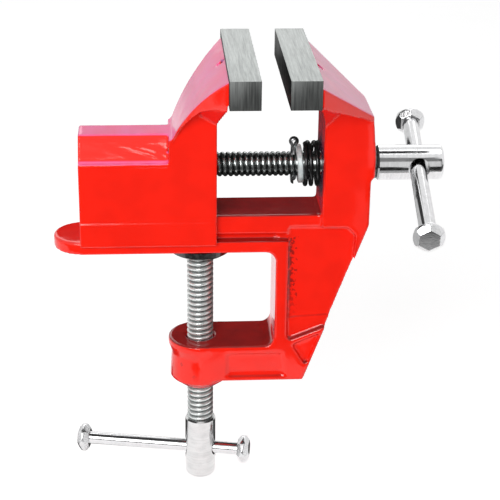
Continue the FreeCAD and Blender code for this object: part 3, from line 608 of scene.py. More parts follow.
class PaintedTopSheen(Effect):
    """Painted pink sheen on what looks up, above some height, in faint streaks."""

    title = "PaintedTopSheen"
    takes = {"Floor": 0.02, "Scale": 160.0, "Side Share": 0.6}

    def wire(self) -> dict[str, Socket]:
        """Bound the painted sheen by height and slope, and streak it.

        Returns:
            What feeds each output.
        """
        height, look = self.split(self.place())[2], self.look()
        aside = self.times(self.size(look[1]), self["Side Share"])
        up = self.span(self.sum(look[2], aside, "SUBTRACT"), 0.08, 0.30)
        up = self.where(up, (height, self["Floor"], Limit.ABOVE))
        streak = self.noise(self["Scale"], 4.0, (1.0, 0.35, 1.0))
        return {"Mask": self.times(up, self.span(streak, 0.3, 0.7, 0.7, 1.0))}


class PaintRuns(Effect):
    """Sagged runs of thick paint on the slope above the slider's shoulder, up to the neck."""

    title = "Paint Runs"
    takes = {"Low": 0.0290, "High": 0.0368, "Scale": 180.0, "Edge": 0.0012, "Left": -0.036,
             "Full": -0.014, "Right": -0.0103, "Left Share": 0.12}
    gives = ("Height",)

    def wire(self) -> dict[str, Socket]:
        """Stretch a twisted noise along the slider and bound it by place.

        Returns:
            What feeds each output.
        """
        spot = self.split(self.place())
        runs = self.noise(self["Scale"], 2.0, (0.30, 1.0, 1.0), Distortion=1.2)
        rise = self.sum(self.sum(spot[2], self["Low"], "SUBTRACT"), self["Edge"], "DIVIDE")
        fall = self.sum(self.sum(self["High"], spot[2], "SUBTRACT"), self["Edge"], "DIVIDE")
        band = self.add("Clamp", {0: self.sum(rise, fall, "MINIMUM")})
        along = self.span(spot[0], self["Left"], self["Full"], self["Left Share"])
        here = self.times(self.sum(spot[0], self["Right"], Limit.BELOW.value), along)
        return {"Height": self.times(self.times(runs, band), here)}


class CreaseShade(Effect):
    """Mask of creases and inside corners, where the enamel is darkened as painted shade."""

    title = "CreaseShade"
    takes = {"Low": 0.42, "High": 0.476}

    def wire(self) -> dict[str, Socket]:
        """Return the hollow end of the surface's bend."""
        return {"Mask": self.span(self.bend(), self["Low"], self["High"], 1.0, 0.0)}


class ThreadDepth(Effect):
    """How far out a point of a screw thread is, from its root at 0 to its crest at 1."""

    title = "Thread Depth"
    takes = {"Centre": (0.0, 0.0, 0.0), "Across": (0.0, 1.0, 1.0), "Root": 0.003, "Crest": 0.004}
    gives = ("Share",)

    def wire(self) -> dict[str, Socket]:
        """Return the distance from the screw's axis as a share."""
        reach = self.reach(self["Centre"], self["Across"])
        return {"Share": self.span(reach, self["Root"], self["Crest"])}


@dataclass(frozen=True)
class Finish:
    """A surface finish. Each kind builds its own material."""

    name: str
    colour: Triple
    roughness: float
    spread = 0.1  # How much rougher it is where its mask is full.

    def material(self) -> bpy.types.Material:
        """Build the finish's material, or find it if it is there.

        Returns:
            The material.
        """
        made = bpy.data.materials.get(self.name)
        if made is None:
            made = bpy.data.materials.new(self.name)
            graph = Graph.fresh(made)
            surface = graph.add("BsdfPrincipled", self.sockets(graph))
            graph.add("OutputMaterial", {"Surface": surface})
        return made

    def sockets(self, graph: Graph) -> Feeds:
        """Build the finish's own nodes.

        Args:
            graph: Where they go.

        Returns:
            What feeds the shader's inputs.
        """
        raise NotImplementedError

    def rgba(self, share: float = 1.0) -> tuple[float, float, float, float]:
        """Return the colour, darkened to a share of itself."""
        return (self.colour[0] * share, self.colour[1] * share, self.colour[2] * share, 1.0)

    def rough(self, graph: Graph, mask: Socket) -> Socket:
        """Return a roughness that rises with a mask."""
        return graph.scale(mask, self.roughness, self.roughness + self.spread)

    def dress(self, piece: Piece) -> None:
        """Put the finish on a piece.

        Args:
            piece: The piece. It gets a slot if it has none.
        """
        for slot in piece.material_slots:
            slot.material = self.material()
        if not piece.material_slots:
            piece.data.materials.append(self.material())


@dataclass(frozen=True)
class Enamel(Finish):
    """Thick glossy enamel over a rough casting, with oily films, painted shade and a painted pink
    sheen on top.
    """

    deep: Triple = (0.91, 0.012, 0.003)
    # Painted dark reflection on the edges and painted shade in the creases.
    edge_and_crease_shade: Triple = (0.36, 0.006, 0.005)
    # Oily film with painted shade on the rail and arm tops, and painted shade in the rough corner
    # by the rib.
    oil_and_shade: Triple = (0.09, 0.008, 0.008)
    # Near black round the spindle on the column: painted shade behind the spring, with an oily
    # film.
    tar_and_shade: Triple = (0.006, 0.005, 0.005)
    # Lilac on what looks up: a painted pink sheen.
    painted_top_sheen: Triple = (0.90, 0.30, 1.0)
    wave_depth: float = 0.18
    run_depth: float = 0.75
    spread = 0.04

    def sockets(self, graph: Graph) -> Feeds:
        """Vary the colour slowly, lay the oily films, painted shade and painted sheen over it and
        ripple the surface.

        Args:
            graph: Where the nodes go.

        Returns:
            What feeds the shader's inputs.
        """
        waves = CastRipple.use(graph, out="Height")
        shade = CastRipple.use(graph, out="Shade")
        runs = graph.times(PaintRuns.use(graph, out="Height"), self.run_depth / self.wave_depth)
        height = graph.sum(waves, runs)
        colour = graph.mix(graph.span(shade, 0.35, 0.6), (*self.deep, 1.0), self.rgba())
        # Painted dark reflection on edges; painted shade in creases, on the rail and arm tops, in
        # the rib's corner and behind the spring, some of it oily; a painted pink sheen on what
        # looks up.
        for effect, values, out, share, tone in (
                (EdgeRubAndDarkReflection, {"Low": 0.515}, "Mask", 0.6, self.edge_and_crease_shade),
                (CreaseShade, None, "Mask", 0.7, self.edge_and_crease_shade),
                (PaintedTopSheen, None, "Mask", 0.35, self.painted_top_sheen),
                (CastPitsAndShade, None, "Mask", 0.65, self.oil_and_shade),
                (OilAndShadeFilm, None, "Slide", 0.85, self.oil_and_shade),
                (OilAndShadeFilm, None, "Ring", 0.97, self.tar_and_shade)):
            mask = graph.times(effect.use(graph, values, out), share)
            colour = graph.mix(mask, colour, (*tone, 1.0))
        return {
            "Base Color": colour,
            "Roughness": self.rough(graph, shade),
            "Normal": graph.bump(height, self.wave_depth),
            "Specular IOR Level": 0.38,
            "Coat Weight": 0.15,
            "Coat Roughness": 0.04,
            "Sheen Weight": 0.08,
            "Sheen Roughness": 0.3,
            "Sheen Tint": (1.0, 0.40, 0.8, 1.0),
        }


@dataclass(frozen=True)
class MilledSteel(Finish):
    """Jaw plate steel: ground on top, milled at the ends with painted shade, dark on the gripping
    faces.
    """

    # The milled ends are darker than the tops: painted shade.
    end_painted_shade: float = 0.36
    face_share: float = 0.035
    facing: float = 0.7
    depth: float = 0.02
    spread = 0.15

    def sockets(self, graph: Graph) -> Feeds:
        """Choose the marks and the tone by which way a face looks, with painted shade on the ends.

        Args:
            graph: Where the nodes go.

        Returns:
            What feeds the shader's inputs.
        """
        look = graph.look()
        top, end = (graph.sum(graph.size(look[way]), self.facing, Limit.ABOVE.value)
                    for way in (2, 1))
        ground, milled, height = (
            ToolMarks.use(graph, {"Stretch": stretch, "Scale": scale}, out)
            for stretch, scale, out in (((1.0, 0.03, 1.0), 2600.0, "Shade"),
                                        ((1.0, 0.2, 0.05), 1500.0, "Shade"),
                                        ((1.0, 0.03, 0.05), 2200.0, "Height")))
        bright = graph.mix(ground, self.rgba(0.62), self.rgba())
        shaded_ends = graph.mix(milled, self.rgba(self.end_painted_shade * 0.5), self.rgba(self.end_painted_shade * 1.5))
        colour = graph.mix(end, self.rgba(self.face_share), shaded_ends)
        return {
            "Base Color": graph.mix(top, colour, bright),
            "Metallic": 1.0,
            "Roughness": self.rough(graph, milled),
            "Normal": graph.bump(height, self.depth),
        }


@dataclass(frozen=True)
class ThreadSteel(Finish):
    """Screw thread with bright crests and oily roots darkened by painted shade."""

    along: Axis = Axis.X
    centre: Triple = (0.0, 0.0, SPINDLE_HEIGHT)
    root: float = SPINDLE_ROOT
    crest: float = SPINDLE_CREST
    # How dark the roots are: an oily film and painted shade.
    root_shade_share: float = 0.12
    metal: float = 1.0
    depth: float = 0.03
    spread = 0.2

    def sockets(self, graph: Graph) -> Feeds:
        """Darken the thread towards its root: an oily film and painted shade in the grooves.

        Args:
            graph: Where the nodes go.

        Returns:
            What feeds the shader's inputs.
        """
        depth = ThreadDepth.use(graph, {
            "Centre": tuple(value * MM for value in self.centre),
            "Across": (0.0, 1.0, 1.0) if self.along is Axis.X else (1.0, 1.0, 0.0),
            "Root": self.root * MM, "Crest": self.crest * MM}, "Share")
        film = Grime.use(graph, {"Scale": 420.0, "Low": 0.5, "High": 0.75})
        marks = ToolMarks.use(graph, {"Scale": 1800.0}, "Height")
        share = graph.times(depth, graph.scale(film, 1.0, 0.55))
        return {
            "Base Color": graph.mix(share, self.rgba(self.root_shade_share), self.rgba()),
            "Metallic": self.metal,
            "Roughness": self.rough(graph, film),
            "Normal": graph.bump(marks, self.depth),
        }


@dataclass(frozen=True)
class TurnedChrome(Finish):
    """Plated steel with faint turning marks under the shine."""

    stretch: Triple = (1.0, 0.05, 0.05)
    grain: float = 1800.0
    depth: float = 0.004
    spread = 0.08

    def sockets(self, graph: Graph) -> Feeds:
        """Lay fine marks and a thin haze on the plating.

        Args:
            graph: Where the nodes go.

        Returns:
            What feeds the shader's inputs.
        """
        values = {"Stretch": self.stretch, "Scale": self.grain}
        marks = ToolMarks.use(graph, values, "Shade")
        haze = Grime.use(graph, {"Scale": 350.0})
        tone = graph.mix(marks, self.rgba(0.86), self.rgba())
        return {
            "Base Color": graph.mix(graph.times(haze, 0.25), tone, self.rgba(0.6)),
            "Metallic": 1.0,
            "Roughness": self.rough(graph, haze),
            "Normal": graph.bump(ToolMarks.use(graph, values, "Height"), self.depth),
        }


@dataclass(frozen=True)
class DarkSteel(Finish):
    """Blackened or plain steel with a soft film and rubbed edges."""

    rubbed: Triple = (0.35, 0.35, 0.36)
    metal: float = 1.0
    coat: float = 0.0
    depth: float = 0.012
    spread = 0.12

    def sockets(self, graph: Graph) -> Feeds:
        """Rub the edges and vary the film.

        Args:
            graph: Where the nodes go.

        Returns:
            What feeds the shader's inputs.
        """
        edge = EdgeRubAndDarkReflection.use(graph, {"High": 0.62, "Patch Scale": 900.0})
        film = Grime.use(graph, {"Scale": 600.0})
        tone = graph.mix(film, self.rgba(), self.rgba(0.6))
        return {
            "Base Color": graph.mix(edge, tone, (*self.rubbed, 1.0)),
            "Metallic": self.metal,
            "Roughness": self.rough(graph, film),
            "Normal": graph.bump(ToolMarks.use(graph, {"Scale": 1500.0}, "Height"), self.depth),
            "Coat Weight": self.coat,
        }


RED = Enamel("red enamel", (0.97, 0.013, 0.003), 0.10)
# The moving jaw's pin end is a near black red: painted shade of the hole it sits in.
PIN_RED_SHADED = Enamel("shaded pin enamel", (0.12, 0.006, 0.010), 0.35, deep=(0.06, 0.004, 0.006))
JAW = MilledSteel("jaw steel", (0.46, 0.48, 0.47), 0.48)
# The spindle, clamp screw and washer colours lean to cyan to cancel the red that they reflect from
# the castings: a painted-out reflection.
SPINDLE_STEEL = ThreadSteel("spindle steel", (0.47, 0.50, 0.495), 0.22)
CLAMP_STEEL = ThreadSteel("clamp screw zinc", (0.80, 0.84, 0.83), 0.26, Axis.Z, (0.0, 0.0, 0.0),
                          CLAMP_ROOT, CLAMP_CREST, root_shade_share=0.20, metal=0.65)
HEAD_CHROME = TurnedChrome("head chrome", (0.80, 0.80, 0.81), 0.12)
CLAMP_CHROME = TurnedChrome("clamp head chrome", (0.76, 0.76, 0.76), 0.14, (0.05, 0.05, 1.0))
BAR_CHROME = TurnedChrome("bar chrome", (0.80, 0.80, 0.81), 0.10, (1.0, 0.08, 1.0))
KNOB_CHROME = TurnedChrome("knob chrome", (0.78, 0.78, 0.79), 0.18, (1.0, 1.0, 1.0), depth=0.07)
WASHER_ZINC = DarkSteel("washer zinc", (0.64, 0.72, 0.72), 0.42, (0.9, 0.9, 0.9), 0.35)
PIN_ZINC = DarkSteel("split pin steel", (0.30, 0.30, 0.31), 0.25, (0.6, 0.6, 0.6))
NUT_STEEL = DarkSteel("nut steel", (0.35, 0.34, 0.33), 0.35)
SPRING_BLACK = DarkSteel("spring black", (0.016, 0.016, 0.017), 0.18, (0.06, 0.06, 0.06), 0.6,
                         coat=0.4)
COLLAR_BLACK = DarkSteel("collar black", (0.05, 0.05, 0.05), 0.3, (0.25, 0.25, 0.25))
PAD_BLACK = DarkSteel("pad black", (0.012, 0.012, 0.012), 0.16, (0.04, 0.04, 0.04), 0.0,
                      coat=0.8)


class SubAssembly:
    """Pieces that one part of the vise adds, with what they ride on and stand for."""

    body: str

    def keep(self, piece: Piece, node: str, slot: str, finish: Finish) -> None:
        """Dress a new piece that stands for a node, and make it ride on its body.

        Args:
            piece: The new piece.
            node: The node that it replaces.
            slot: The record's material slot. It is not used.
            finish: Its finish.
        """
        finish.dress(piece)
        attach(piece, self.body)
        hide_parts(node)
        log.info("%s: %d faces, stands for %s", piece.name, len(piece.data.polygons), node)

    def carry(self, node: str, finish: Finish) -> None:
        """Dress a node that keeps its own shape."""
        finish.dress(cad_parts[node])
        log.info("%s: kept, now %s", node, finish.name)


@dataclass(frozen=True)
class Web:
    """A cast blend under one wing: two four-cornered ends, given for the front side."""

    inner: tuple[Triple, Triple, Triple, Triple]
    outer: tuple[Triple, Triple, Triple, Triple]

    def build(self, side: float) -> Piece:
        """Shape one blend from a block.

        Args:
            side: -1 for the front side, 1 for the back.

        Returns:
            The block between the two ends.
        """
        corner = {(True, False): 0, (True, True): 1, (False, True): 2, (False, False): 3}
        block = Bench.new("web", ops.primitive_cube_add, size=MM)
        Bench.edit(block)
        for vert in bmesh.from_edit_mesh(block.data).verts:
            corners = self.outer if vert.co.y > 0.0 else self.inner
            x, y, z = corners[corner[vert.co.x > 0.0, vert.co.z > 0.0]]
            vert.co = metres((x, y * side, z))
        bmesh.update_edit_mesh(block.data)
        ops.convex_hull()
        Bench.tidy(block)
        return block


@dataclass(frozen=True)
class SoftCasting:
    """A cast shape with softened edges, and a blend under each wing."""

    web: Web
    cell: float = 0.5
    rounds: int = 5

    def build(self, node: str, name: str) -> Piece:
        """Copy a node and soften it.

        Args:
            node: The node whose shape is cast.
            name: Name of the new piece.

        Returns:
            The cast piece.
        """
        blank = Bench.copy_node(node, name)
        piece = Bench.join(name, (blank, *(self.web.build(side) for side in (-1.0, 1.0))))
        Bench.modify(piece, "REMESH", mode="VOXEL", voxel_size=self.cell * MM)
        Bench.modify(piece, "SMOOTH", factor=0.5, iterations=self.rounds)
        Bench.smooth(piece, 60.0)
        return piece


@dataclass
class Jaw(SubAssembly):
    """A casting with a steel jaw plate."""

    casting: SoftCasting
    plate_edge: float = 0.22

    def add_plate(self, node: str, name: str) -> None:
        """Make the jaw plate with its edges broken.

        Args:
            node: The plate's node.
            name: Name of the new piece.
        """
        plate = Bench.copy_node(node, name)
        Bench.bevel(plate, self.plate_edge, 2, 40.0)
        Bench.smooth(plate)
        self.keep(plate, node, "jaw_steel", JAW)


@dataclass
class Frame(Jaw):
    """Column, rail, base plate and C-shaped arm in one casting, with the fixed jaw."""

    body = "frame"
    casting: SoftCasting = SoftCasting(Web(
        ((42.0, 9.5, 45.0), (42.0, 9.5, 50.5), (37.9, 9.5, 52.5), (37.9, 9.5, 41.0)),
        ((40.5, 18.0, 48.5), (40.5, 18.0, 50.0), (34.5, 25.3, 55.0), (34.5, 25.3, 51.5))))

    def build(self) -> None:
        """Make the casting and dress the fixed jaw."""
        cast = self.casting.build("frame_body", "frame_casting")
        self.keep(cast, "frame_body", "painted_casting", RED)
        self.add_plate("fixed_jaw_plate", "fixed_plate")
        self.carry("fixed_jaw_pin", PIN_ZINC)


@dataclass
class SlidingJaw(Jaw):
    """Slider with its jaw, pin and nut, and a crease round the skirt over the rail."""

    body = "moving_jaw"
    casting: SoftCasting = SoftCasting(Web(
        ((4.8, 10.0, 42.0), (4.8, 10.0, 52.0), (-0.5, 10.0, 49.0), (-0.5, 10.0, 45.0)),
        ((7.5, 25.3, 51.4), (7.5, 25.3, 55.0), (0.0, 17.5, 50.5), (0.0, 17.5, 49.0))), 0.4)
    crease_height: float = 10.6
    crease_width: float = 0.5
    crease_depth: float = 0.45
    side: float = 10.6
    end: float = -36.6
    neck: float = 4.0

    def crease(self, piece: Piece) -> None:
        """Press a narrow groove round the sides, where the skirt over the rail begins.

        Args:
            piece: The slider's casting.
        """
        Bench.edit(piece)
        for step in (-0.5, 0.0, 0.5):
            height = self.crease_height + step * self.crease_width
            ops.select_all(action="SELECT")
            ops.bisect(plane_co=metres((0.0, 0.0, height)), plane_no=(0.0, 0.0, 1.0))
        Bench.pick(piece, lambda place, normal: abs(place.z - self.crease_height) < SLACK
                   and abs(normal.z) < 0.5 and place.x < self.neck
                   and (abs(place.y) > self.side or place.x < self.end), Part.VERTS)
        bpy.ops.transform.shrink_fatten(value=-self.crease_depth * MM)
        Bench.clear()

    def build(self) -> None:
        """Make the slider and dress what it carries."""
        cast = self.casting.build("moving_jaw_body", "slider_casting")
        self.crease(cast)
        Bench.smooth(cast, 50.0)
        self.keep(cast, "moving_jaw_body", "painted_casting", RED)
        self.add_plate("moving_jaw_plate", "moving_plate")
        self.carry("moving_jaw_pin", PIN_RED_SHADED)
        self.carry("spindle_nut", NUT_STEEL)


@dataclass(frozen=True)
class ScrewThread:
    """A right-handed screw thread along one axis, with tapered ends.

    The profile is one ridge: shares of the pitch along the axis and of the depth out from the root.
    The nudge keeps its points off the cuts at the ends.
    """

    along: Axis
    centre: Triple
    start: float
    end: float
    crest: float
    root: float
    pitch: float = 1.75
    nudge: float = 0.0044
    steps: int = 40
    taper: float = 0.9
    tip_share: float = 0.2
    profile: tuple[tuple[float, float], ...] = (
        (0.0, 0.0), (0.08, 0.06), (0.17, 0.38), (0.26, 0.82), (0.34, 0.98), (0.66, 0.98),
        (0.74, 0.82), (0.83, 0.38), (0.92, 0.06), (1.0, 0.0))

    def step(self, along: float, out: float) -> Triple:
        """Return a move from its parts along the axis and out from it."""
        return (along, 0.0, out) if self.along is Axis.X else (out, 0.0, along)

    def build(self, name: str) -> Piece:
        """Draw one ridge from a corner of a plane, wind it up and cut the ends.

        Args:
            name: Name of the piece.

        Returns:
            The thread as a closed solid.
        """
        piece = Bench.new(name, ops.primitive_plane_add, size=MM)
        Bench.edit(piece)
        Bench.pick(piece, lambda place, normal: place.x > 0 or place.y > 0, Part.VERTS)
        ops.delete(type="VERT")
        ops.select_all(action="SELECT")
        corner = 0.5
        x, y, z = self.step(self.start - self.pitch - self.nudge, self.root)
        bpy.ops.transform.translate(value=metres((x + corner, y + corner, z)))
        deep = self.crest - self.root
        for before, after in zip(self.profile, self.profile[1:]):
            Bench.drag(*self.step((after[0] - before[0]) * self.pitch,
                                  (after[1] - before[1]) * deep))
        turns = math.ceil((self.end - self.start) / self.pitch) + 2
        Bench.modify(piece, "SCREW", axis=self.along.name, angle=2 * math.pi,
                     screw_offset=self.pitch * MM, iterations=turns, steps=self.steps,
                     render_steps=self.steps, use_merge_vertices=True, merge_threshold=FINE_CUT)
        piece.location = metres(self.centre)
        Bench.settle(piece)
        self.cut(piece)
        self.lead_in(piece)
        Bench.tidy(piece)
        Bench.smooth(piece, 50.0)
        return piece

    def cut(self, piece: Piece) -> None:
        """Cut both ends square and close them.

        Args:
            piece: The thread.
        """
        Bench.edit(piece)
        for place, low in ((self.start, True), (self.end, False)):
            spot = metres(self.centre)
            spot[self.along.value] = place * MM
            ops.select_all(action="SELECT")
            ops.bisect(plane_co=spot, plane_no=self.step(1.0, 0.0), use_fill=True,
                       clear_inner=low, clear_outer=not low, threshold=FINE_CUT)

    def lead_in(self, piece: Piece) -> None:
        """Draw the thread in towards its root near both ends.

        Args:
            piece: The thread.
        """
        Bench.edit(piece)
        for vert in bmesh.from_edit_mesh(piece.data).verts:
            place = vert.co / MM
            near = min(place[self.along.value] - self.start, self.end - place[self.along.value])
            off = place - Vector(self.centre)
            off[self.along.value] = 0.0
            share = self.tip_share + (1.0 - self.tip_share) * max(near, 0.0) / self.taper
            limit = self.root + (self.crest - self.root) * share
            if off.length > limit:
                vert.co -= off * (1.0 - limit / off.length) * MM
        bmesh.update_edit_mesh(piece.data)


@dataclass(frozen=True)
class CoilSpring:
    """Spring of round wire with a closed coil at each end."""

    first: float = 32.7
    last: float = 37.05
    radius: float = 6.6
    wire: float = 0.66
    turns: int = 3
    steps: int = 64
    facets: int = 14
    flat: float = 0.28
    ease: float = 0.5
    closed: float = 0.06

    def lay(self, turn: float) -> float:
        """Find where the wire lies.

        Args:
            turn: How many turns it has made.

        Returns:
            The place of its centre along the spindle.
        """
        share = min(max((turn - self.flat) / (self.turns - 2 * self.flat), 0.0), 1.0)
        eased = (1.0 - self.ease) * share + self.ease * share * share * (3.0 - 2.0 * share)
        part = eased * (1.0 - self.closed) + self.closed * turn / self.turns
        return self.first + (self.last - self.first) * part

    def build(self, name: str) -> Piece:
        """Wind the wire and close its ends.

        Args:
            name: Name of the piece.

        Returns:
            The spring as a closed solid.
        """
        piece = Bench.new(name, ops.primitive_circle_add, vertices=self.facets,
                          radius=self.wire * MM, location=metres((0.0, 0.0, self.radius)),
                          rotation=(math.radians(90.0), 0.0, 0.0))
        rise = 4.0 * self.wire
        Bench.modify(piece, "SCREW", axis="X", angle=2 * math.pi, screw_offset=rise * MM,
                     iterations=self.turns, steps=self.steps, render_steps=self.steps,
                     use_merge_vertices=False)
        Bench.tidy(piece, 0.0001)
        Bench.edit(piece)
        for vert in bmesh.from_edit_mesh(piece.data).verts:
            place = vert.co / MM
            part = math.atan2(-place.y, place.z) / (2 * math.pi) % 1.0
            turn = round(place.x / rise - part) + part
            vert.co.x = (place.x - turn * rise + self.lay(turn)) * MM
            vert.co.z += SPINDLE_HEIGHT * MM
        bmesh.update_edit_mesh(piece.data)
        ops.fill_holes(sides=0)
        Bench.tidy(piece)
        Bench.smooth(piece, 50.0)
        return piece


@dataclass(frozen=True)
class SplitPin:
    """Split pin of half-round wire, with its eye above the spindle and spread legs below."""

    place: float = 29.3
    wire: float = 1.0
    foot: float = 22.2
    neck: float = 32.15
    flare: float = 45.0
    flare_radius: float = 1.4
    eye_height: float = 33.55
    leg_radius: float = 1.0
    leg_bend: float = 78.0
    leg: float = 1.15
    steps: int = 6
    facets: int = 20
    gap: float = 0.02

    def build(self, name: str) -> Piece:
        """Bend one half of the wire, turn a copy round and join the two.

        Args:
            name: Name of the piece.

        Returns:
            The pin as one closed wire.
        """
        piece = self.half(name)
        Bench.edit(piece)
        ops.duplicate()
        bpy.ops.transform.rotate(value=math.pi, orient_axis="Z",
                                 center_override=metres((self.place, 0.0, 0.0)))
        Bench.tidy(piece, 0.01)
        Bench.smooth(piece, 45.0)
        return piece

    def spin(self, degrees: float, axis: Triple, centre: Triple, steps: int) -> None:
        """Bend what is selected round an axis.

        Args:
            degrees: How far.
            axis: The axis.
            centre: A point on it.
            steps: How many steps the bend has.
        """
        ops.spin(steps=steps, angle=math.radians(degrees), axis=axis, center=metres(centre))

    def half(self, name: str) -> Piece:
        """Draw one leg and its half of the eye from a half-round outline.

        Args:
            name: Name of the piece.

        Returns:
            One half of the pin, open where the other half meets it.
        """
        piece = Bench.new(name, ops.primitive_circle_add, vertices=self.facets,
                          radius=self.wire * MM, fill_type="NGON",
                          location=metres((self.place, 0.0, self.foot)))
        Bench.edit(piece)
        ops.bisect(plane_co=metres((self.place - self.gap, 0.0, self.foot)),
                   plane_no=(1.0, 0.0, 0.0), clear_outer=True, threshold=FINE_CUT)
        ops.select_all(action="SELECT")
        ops.delete(type="ONLY_FACE")
        ops.select_all(action="SELECT")
        Bench.drag(0.0, 0.0, self.neck - self.foot)
        self.spin(self.flare, (0.0, 1.0, 0.0), (self.place - self.flare_radius, 0.0, self.neck),
                  self.steps)
        self.spin(90.0 + self.flare, (0.0, -1.0, 0.0), (self.place, 0.0, self.eye_height),
                  3 * self.steps)
        Bench.pick(piece, lambda place, normal: abs(place.z - self.foot) < SLACK, Part.VERTS)
        self.spin(self.leg_bend, (1.0, 0.0, 0.0), (self.place, -self.leg_radius, self.foot),
                  self.steps)
        lean = math.radians(self.leg_bend)
        Bench.drag(0.0, -self.leg * math.sin(lean), -self.leg * math.cos(lean))
        ops.edge_face_add()
        return piece


@dataclass(frozen=True)
class Rod:
    """Plain turned rod with bevelled ends."""

    along: Axis
    centre: Triple
    start: float
    end: float
    radius: float
    edge: float = 0.25
    facets: int = 56

    def build(self, name: str) -> Piece:
        """Turn the rod.

        Args:
            name: Name of the piece.

        Returns:
            The rod.
        """
        along = self.along.value
        middle = list(self.centre)
        middle[along] = (self.start + self.end) / 2
        lean = 90.0 if self.along is Axis.X else 0.0
        piece = Bench.new(name, ops.primitive_cylinder_add, vertices=self.facets,
                          radius=self.radius * MM, depth=(self.end - self.start) * MM,
                          location=metres(middle), rotation=(0.0, math.radians(lean), 0.0))
        Bench.edit(piece)
        Bench.pick(piece, lambda place, normal: min(abs(place[along] - self.start),
                                                    abs(place[along] - self.end)) < SLACK)
        ops.bevel(offset=self.edge * MM, segments=2, affect="EDGES")
        Bench.smooth(piece)
        return piece


@dataclass(frozen=True)
class LooseWasher:
    """Washer that leans a little on the spring, with its rim rubbed round."""

    centre: Triple = (31.1, 0.0, SPINDLE_HEIGHT)
    lean: float = 4.0
    edge: float = 0.2

    def build(self, node: str, name: str) -> Piece:
        """Copy the washer's shape, round its rim and lean it.

        Args:
            node: The washer's node.
            name: Name of the new piece.

        Returns:
            The washer.
        """
        piece = Bench.copy_node(node, name)
        Bench.bevel(piece, self.edge, 3, 60.0)
        Bench.edit(piece)
        bpy.ops.transform.rotate(value=math.radians(self.lean), orient_axis="Y",
                                 center_override=metres(self.centre))
        Bench.smooth(piece)
        return piece


@dataclass
class Spindle(SubAssembly):
    """Threaded spindle with its split pin, washer, spring, thrust ring and head."""

    body = "spindle"
    thread: ScrewThread = ScrewThread(Axis.X, (0.0, 0.0, SPINDLE_HEIGHT), -34.0, 30.1,
                                      SPINDLE_CREST, SPINDLE_ROOT)
    shank: Rod = Rod(Axis.X, (0.0, 0.0, SPINDLE_HEIGHT), 29.9, 63.2, 3.8)
    spring: CoilSpring = CoilSpring()
    pin: SplitPin = SplitPin()
    washer: LooseWasher = LooseWasher()

    def build(self) -> None:
        """Make the spindle and what sits on it."""
        parts = (self.thread.build("thread"), self.shank.build("shank"))
        screw = Bench.join("spindle_thread", parts)
        self.keep(screw, "spindle_screw", "spindle_steel", SPINDLE_STEEL)
        spring = self.spring.build("coil_spring")
        self.keep(spring, "pressure_spring", "spring_steel", SPRING_BLACK)
        pin = self.pin.build("bent_split_pin")
        self.keep(pin, "split_pin", "split_pin_steel", PIN_ZINC)
        washer = self.washer.build("spring_washer", "leaning_washer")
        self.keep(washer, "spring_washer", "washer_steel", WASHER_ZINC)
        self.carry("thrust_collar", COLLAR_BLACK)
        self.carry("spindle_head", HEAD_CHROME)


@dataclass(frozen=True)
class BarKnob:
    """Six-sided knob with its corners rubbed round, closed over the bar's end.

    The bar's line goes through a point, and way is its direction.
    """

    through: Triple
    way: Triple
    bore: float
    slack: float = 0.1
    edge: float = 0.28
    crown: float = 0.06
    wall_lean: float = 0.3

    def along(self, place: Vector) -> float:
        """Return how far along the bar a point is, in millimetres."""
        return (place - Vector(self.through)).dot(Vector(self.way))

    def in_bore(self, place: Vector) -> bool:
        """Return whether a point is in the bore or on its wall."""
        off = (place - Vector(self.through)).cross(Vector(self.way)).length
        return off < self.bore + self.slack

    def build(self, node: str, name: str) -> Piece:
        """Copy a knob's shape, close its bore, crown its outer end and round its corners.

        Args:
            node: The knob's node.
            name: Name of the new piece.

        Returns:
            The knob.
        """
        piece = Bench.copy_node(node, name)
        way = Vector(self.way)
        places = [self.along(vert.co / MM) for vert in piece.data.vertices]
        middle = sum(places) / len(places)
        outwards = math.copysign(1.0, middle)
        Bench.edit(piece)
        Bench.pick(piece, lambda place, normal: self.in_bore(place)
                   and abs(normal.dot(way)) < self.wall_lean)
        ops.delete(type="FACE")
        ops.select_all(action="SELECT")
        ops.fill_holes(sides=0)
        Bench.pick(piece, lambda place, normal: self.in_bore(place)
                   and (self.along(place) - middle) * outwards > 0.0, Part.VERTS)
        bpy.ops.transform.translate(value=way * outwards * self.crown * MM)
        Bench.bevel(piece, self.edge, 3, 25.0)
        Bench.smooth(piece, 35.0)
        Bench.modify(piece, "WEIGHTED_NORMAL", weight=100, keep_sharp=True)
        Bench.clear()
        return piece


@dataclass
class Handle(SubAssembly):
    """Bar that slides in a screw's head, with a knob on each end."""

    body: str
    stem: str
    ends: tuple[str, str]
    knob: BarKnob

    def build(self) -> None:
        """Dress the bar and make both knobs."""
        self.carry(f"{self.body}_bar", BAR_CHROME)
        for end in self.ends:
            node = f"{self.body}_knob_{end}"
            knob = self.knob.build(node, f"{self.stem}_{end}")
            self.keep(knob, node, "handle_chrome", KNOB_CHROME)


@dataclass
class SpindleHandle(Handle):
    """The handle in the spindle's head."""

    body: str = "spindle_handle"
    stem: str = "handle_knob"
    ends: tuple[str, str] = ("top", "bottom")
    knob: BarKnob = BarKnob((68.3, 0.0, SPINDLE_HEIGHT), (-0.0665, -0.9759, -0.2079), 1.6)


@dataclass
class ClampHandle(Handle):
    """The handle in the clamp screw's head."""

    body: str = "clamp_handle"
    stem: str = "clamp_knob"
    ends: tuple[str, str] = ("left", "right")
    knob: BarKnob = BarKnob((0.0, 0.0, -75.0), (0.9813, -0.1925, 0.0), 1.27)


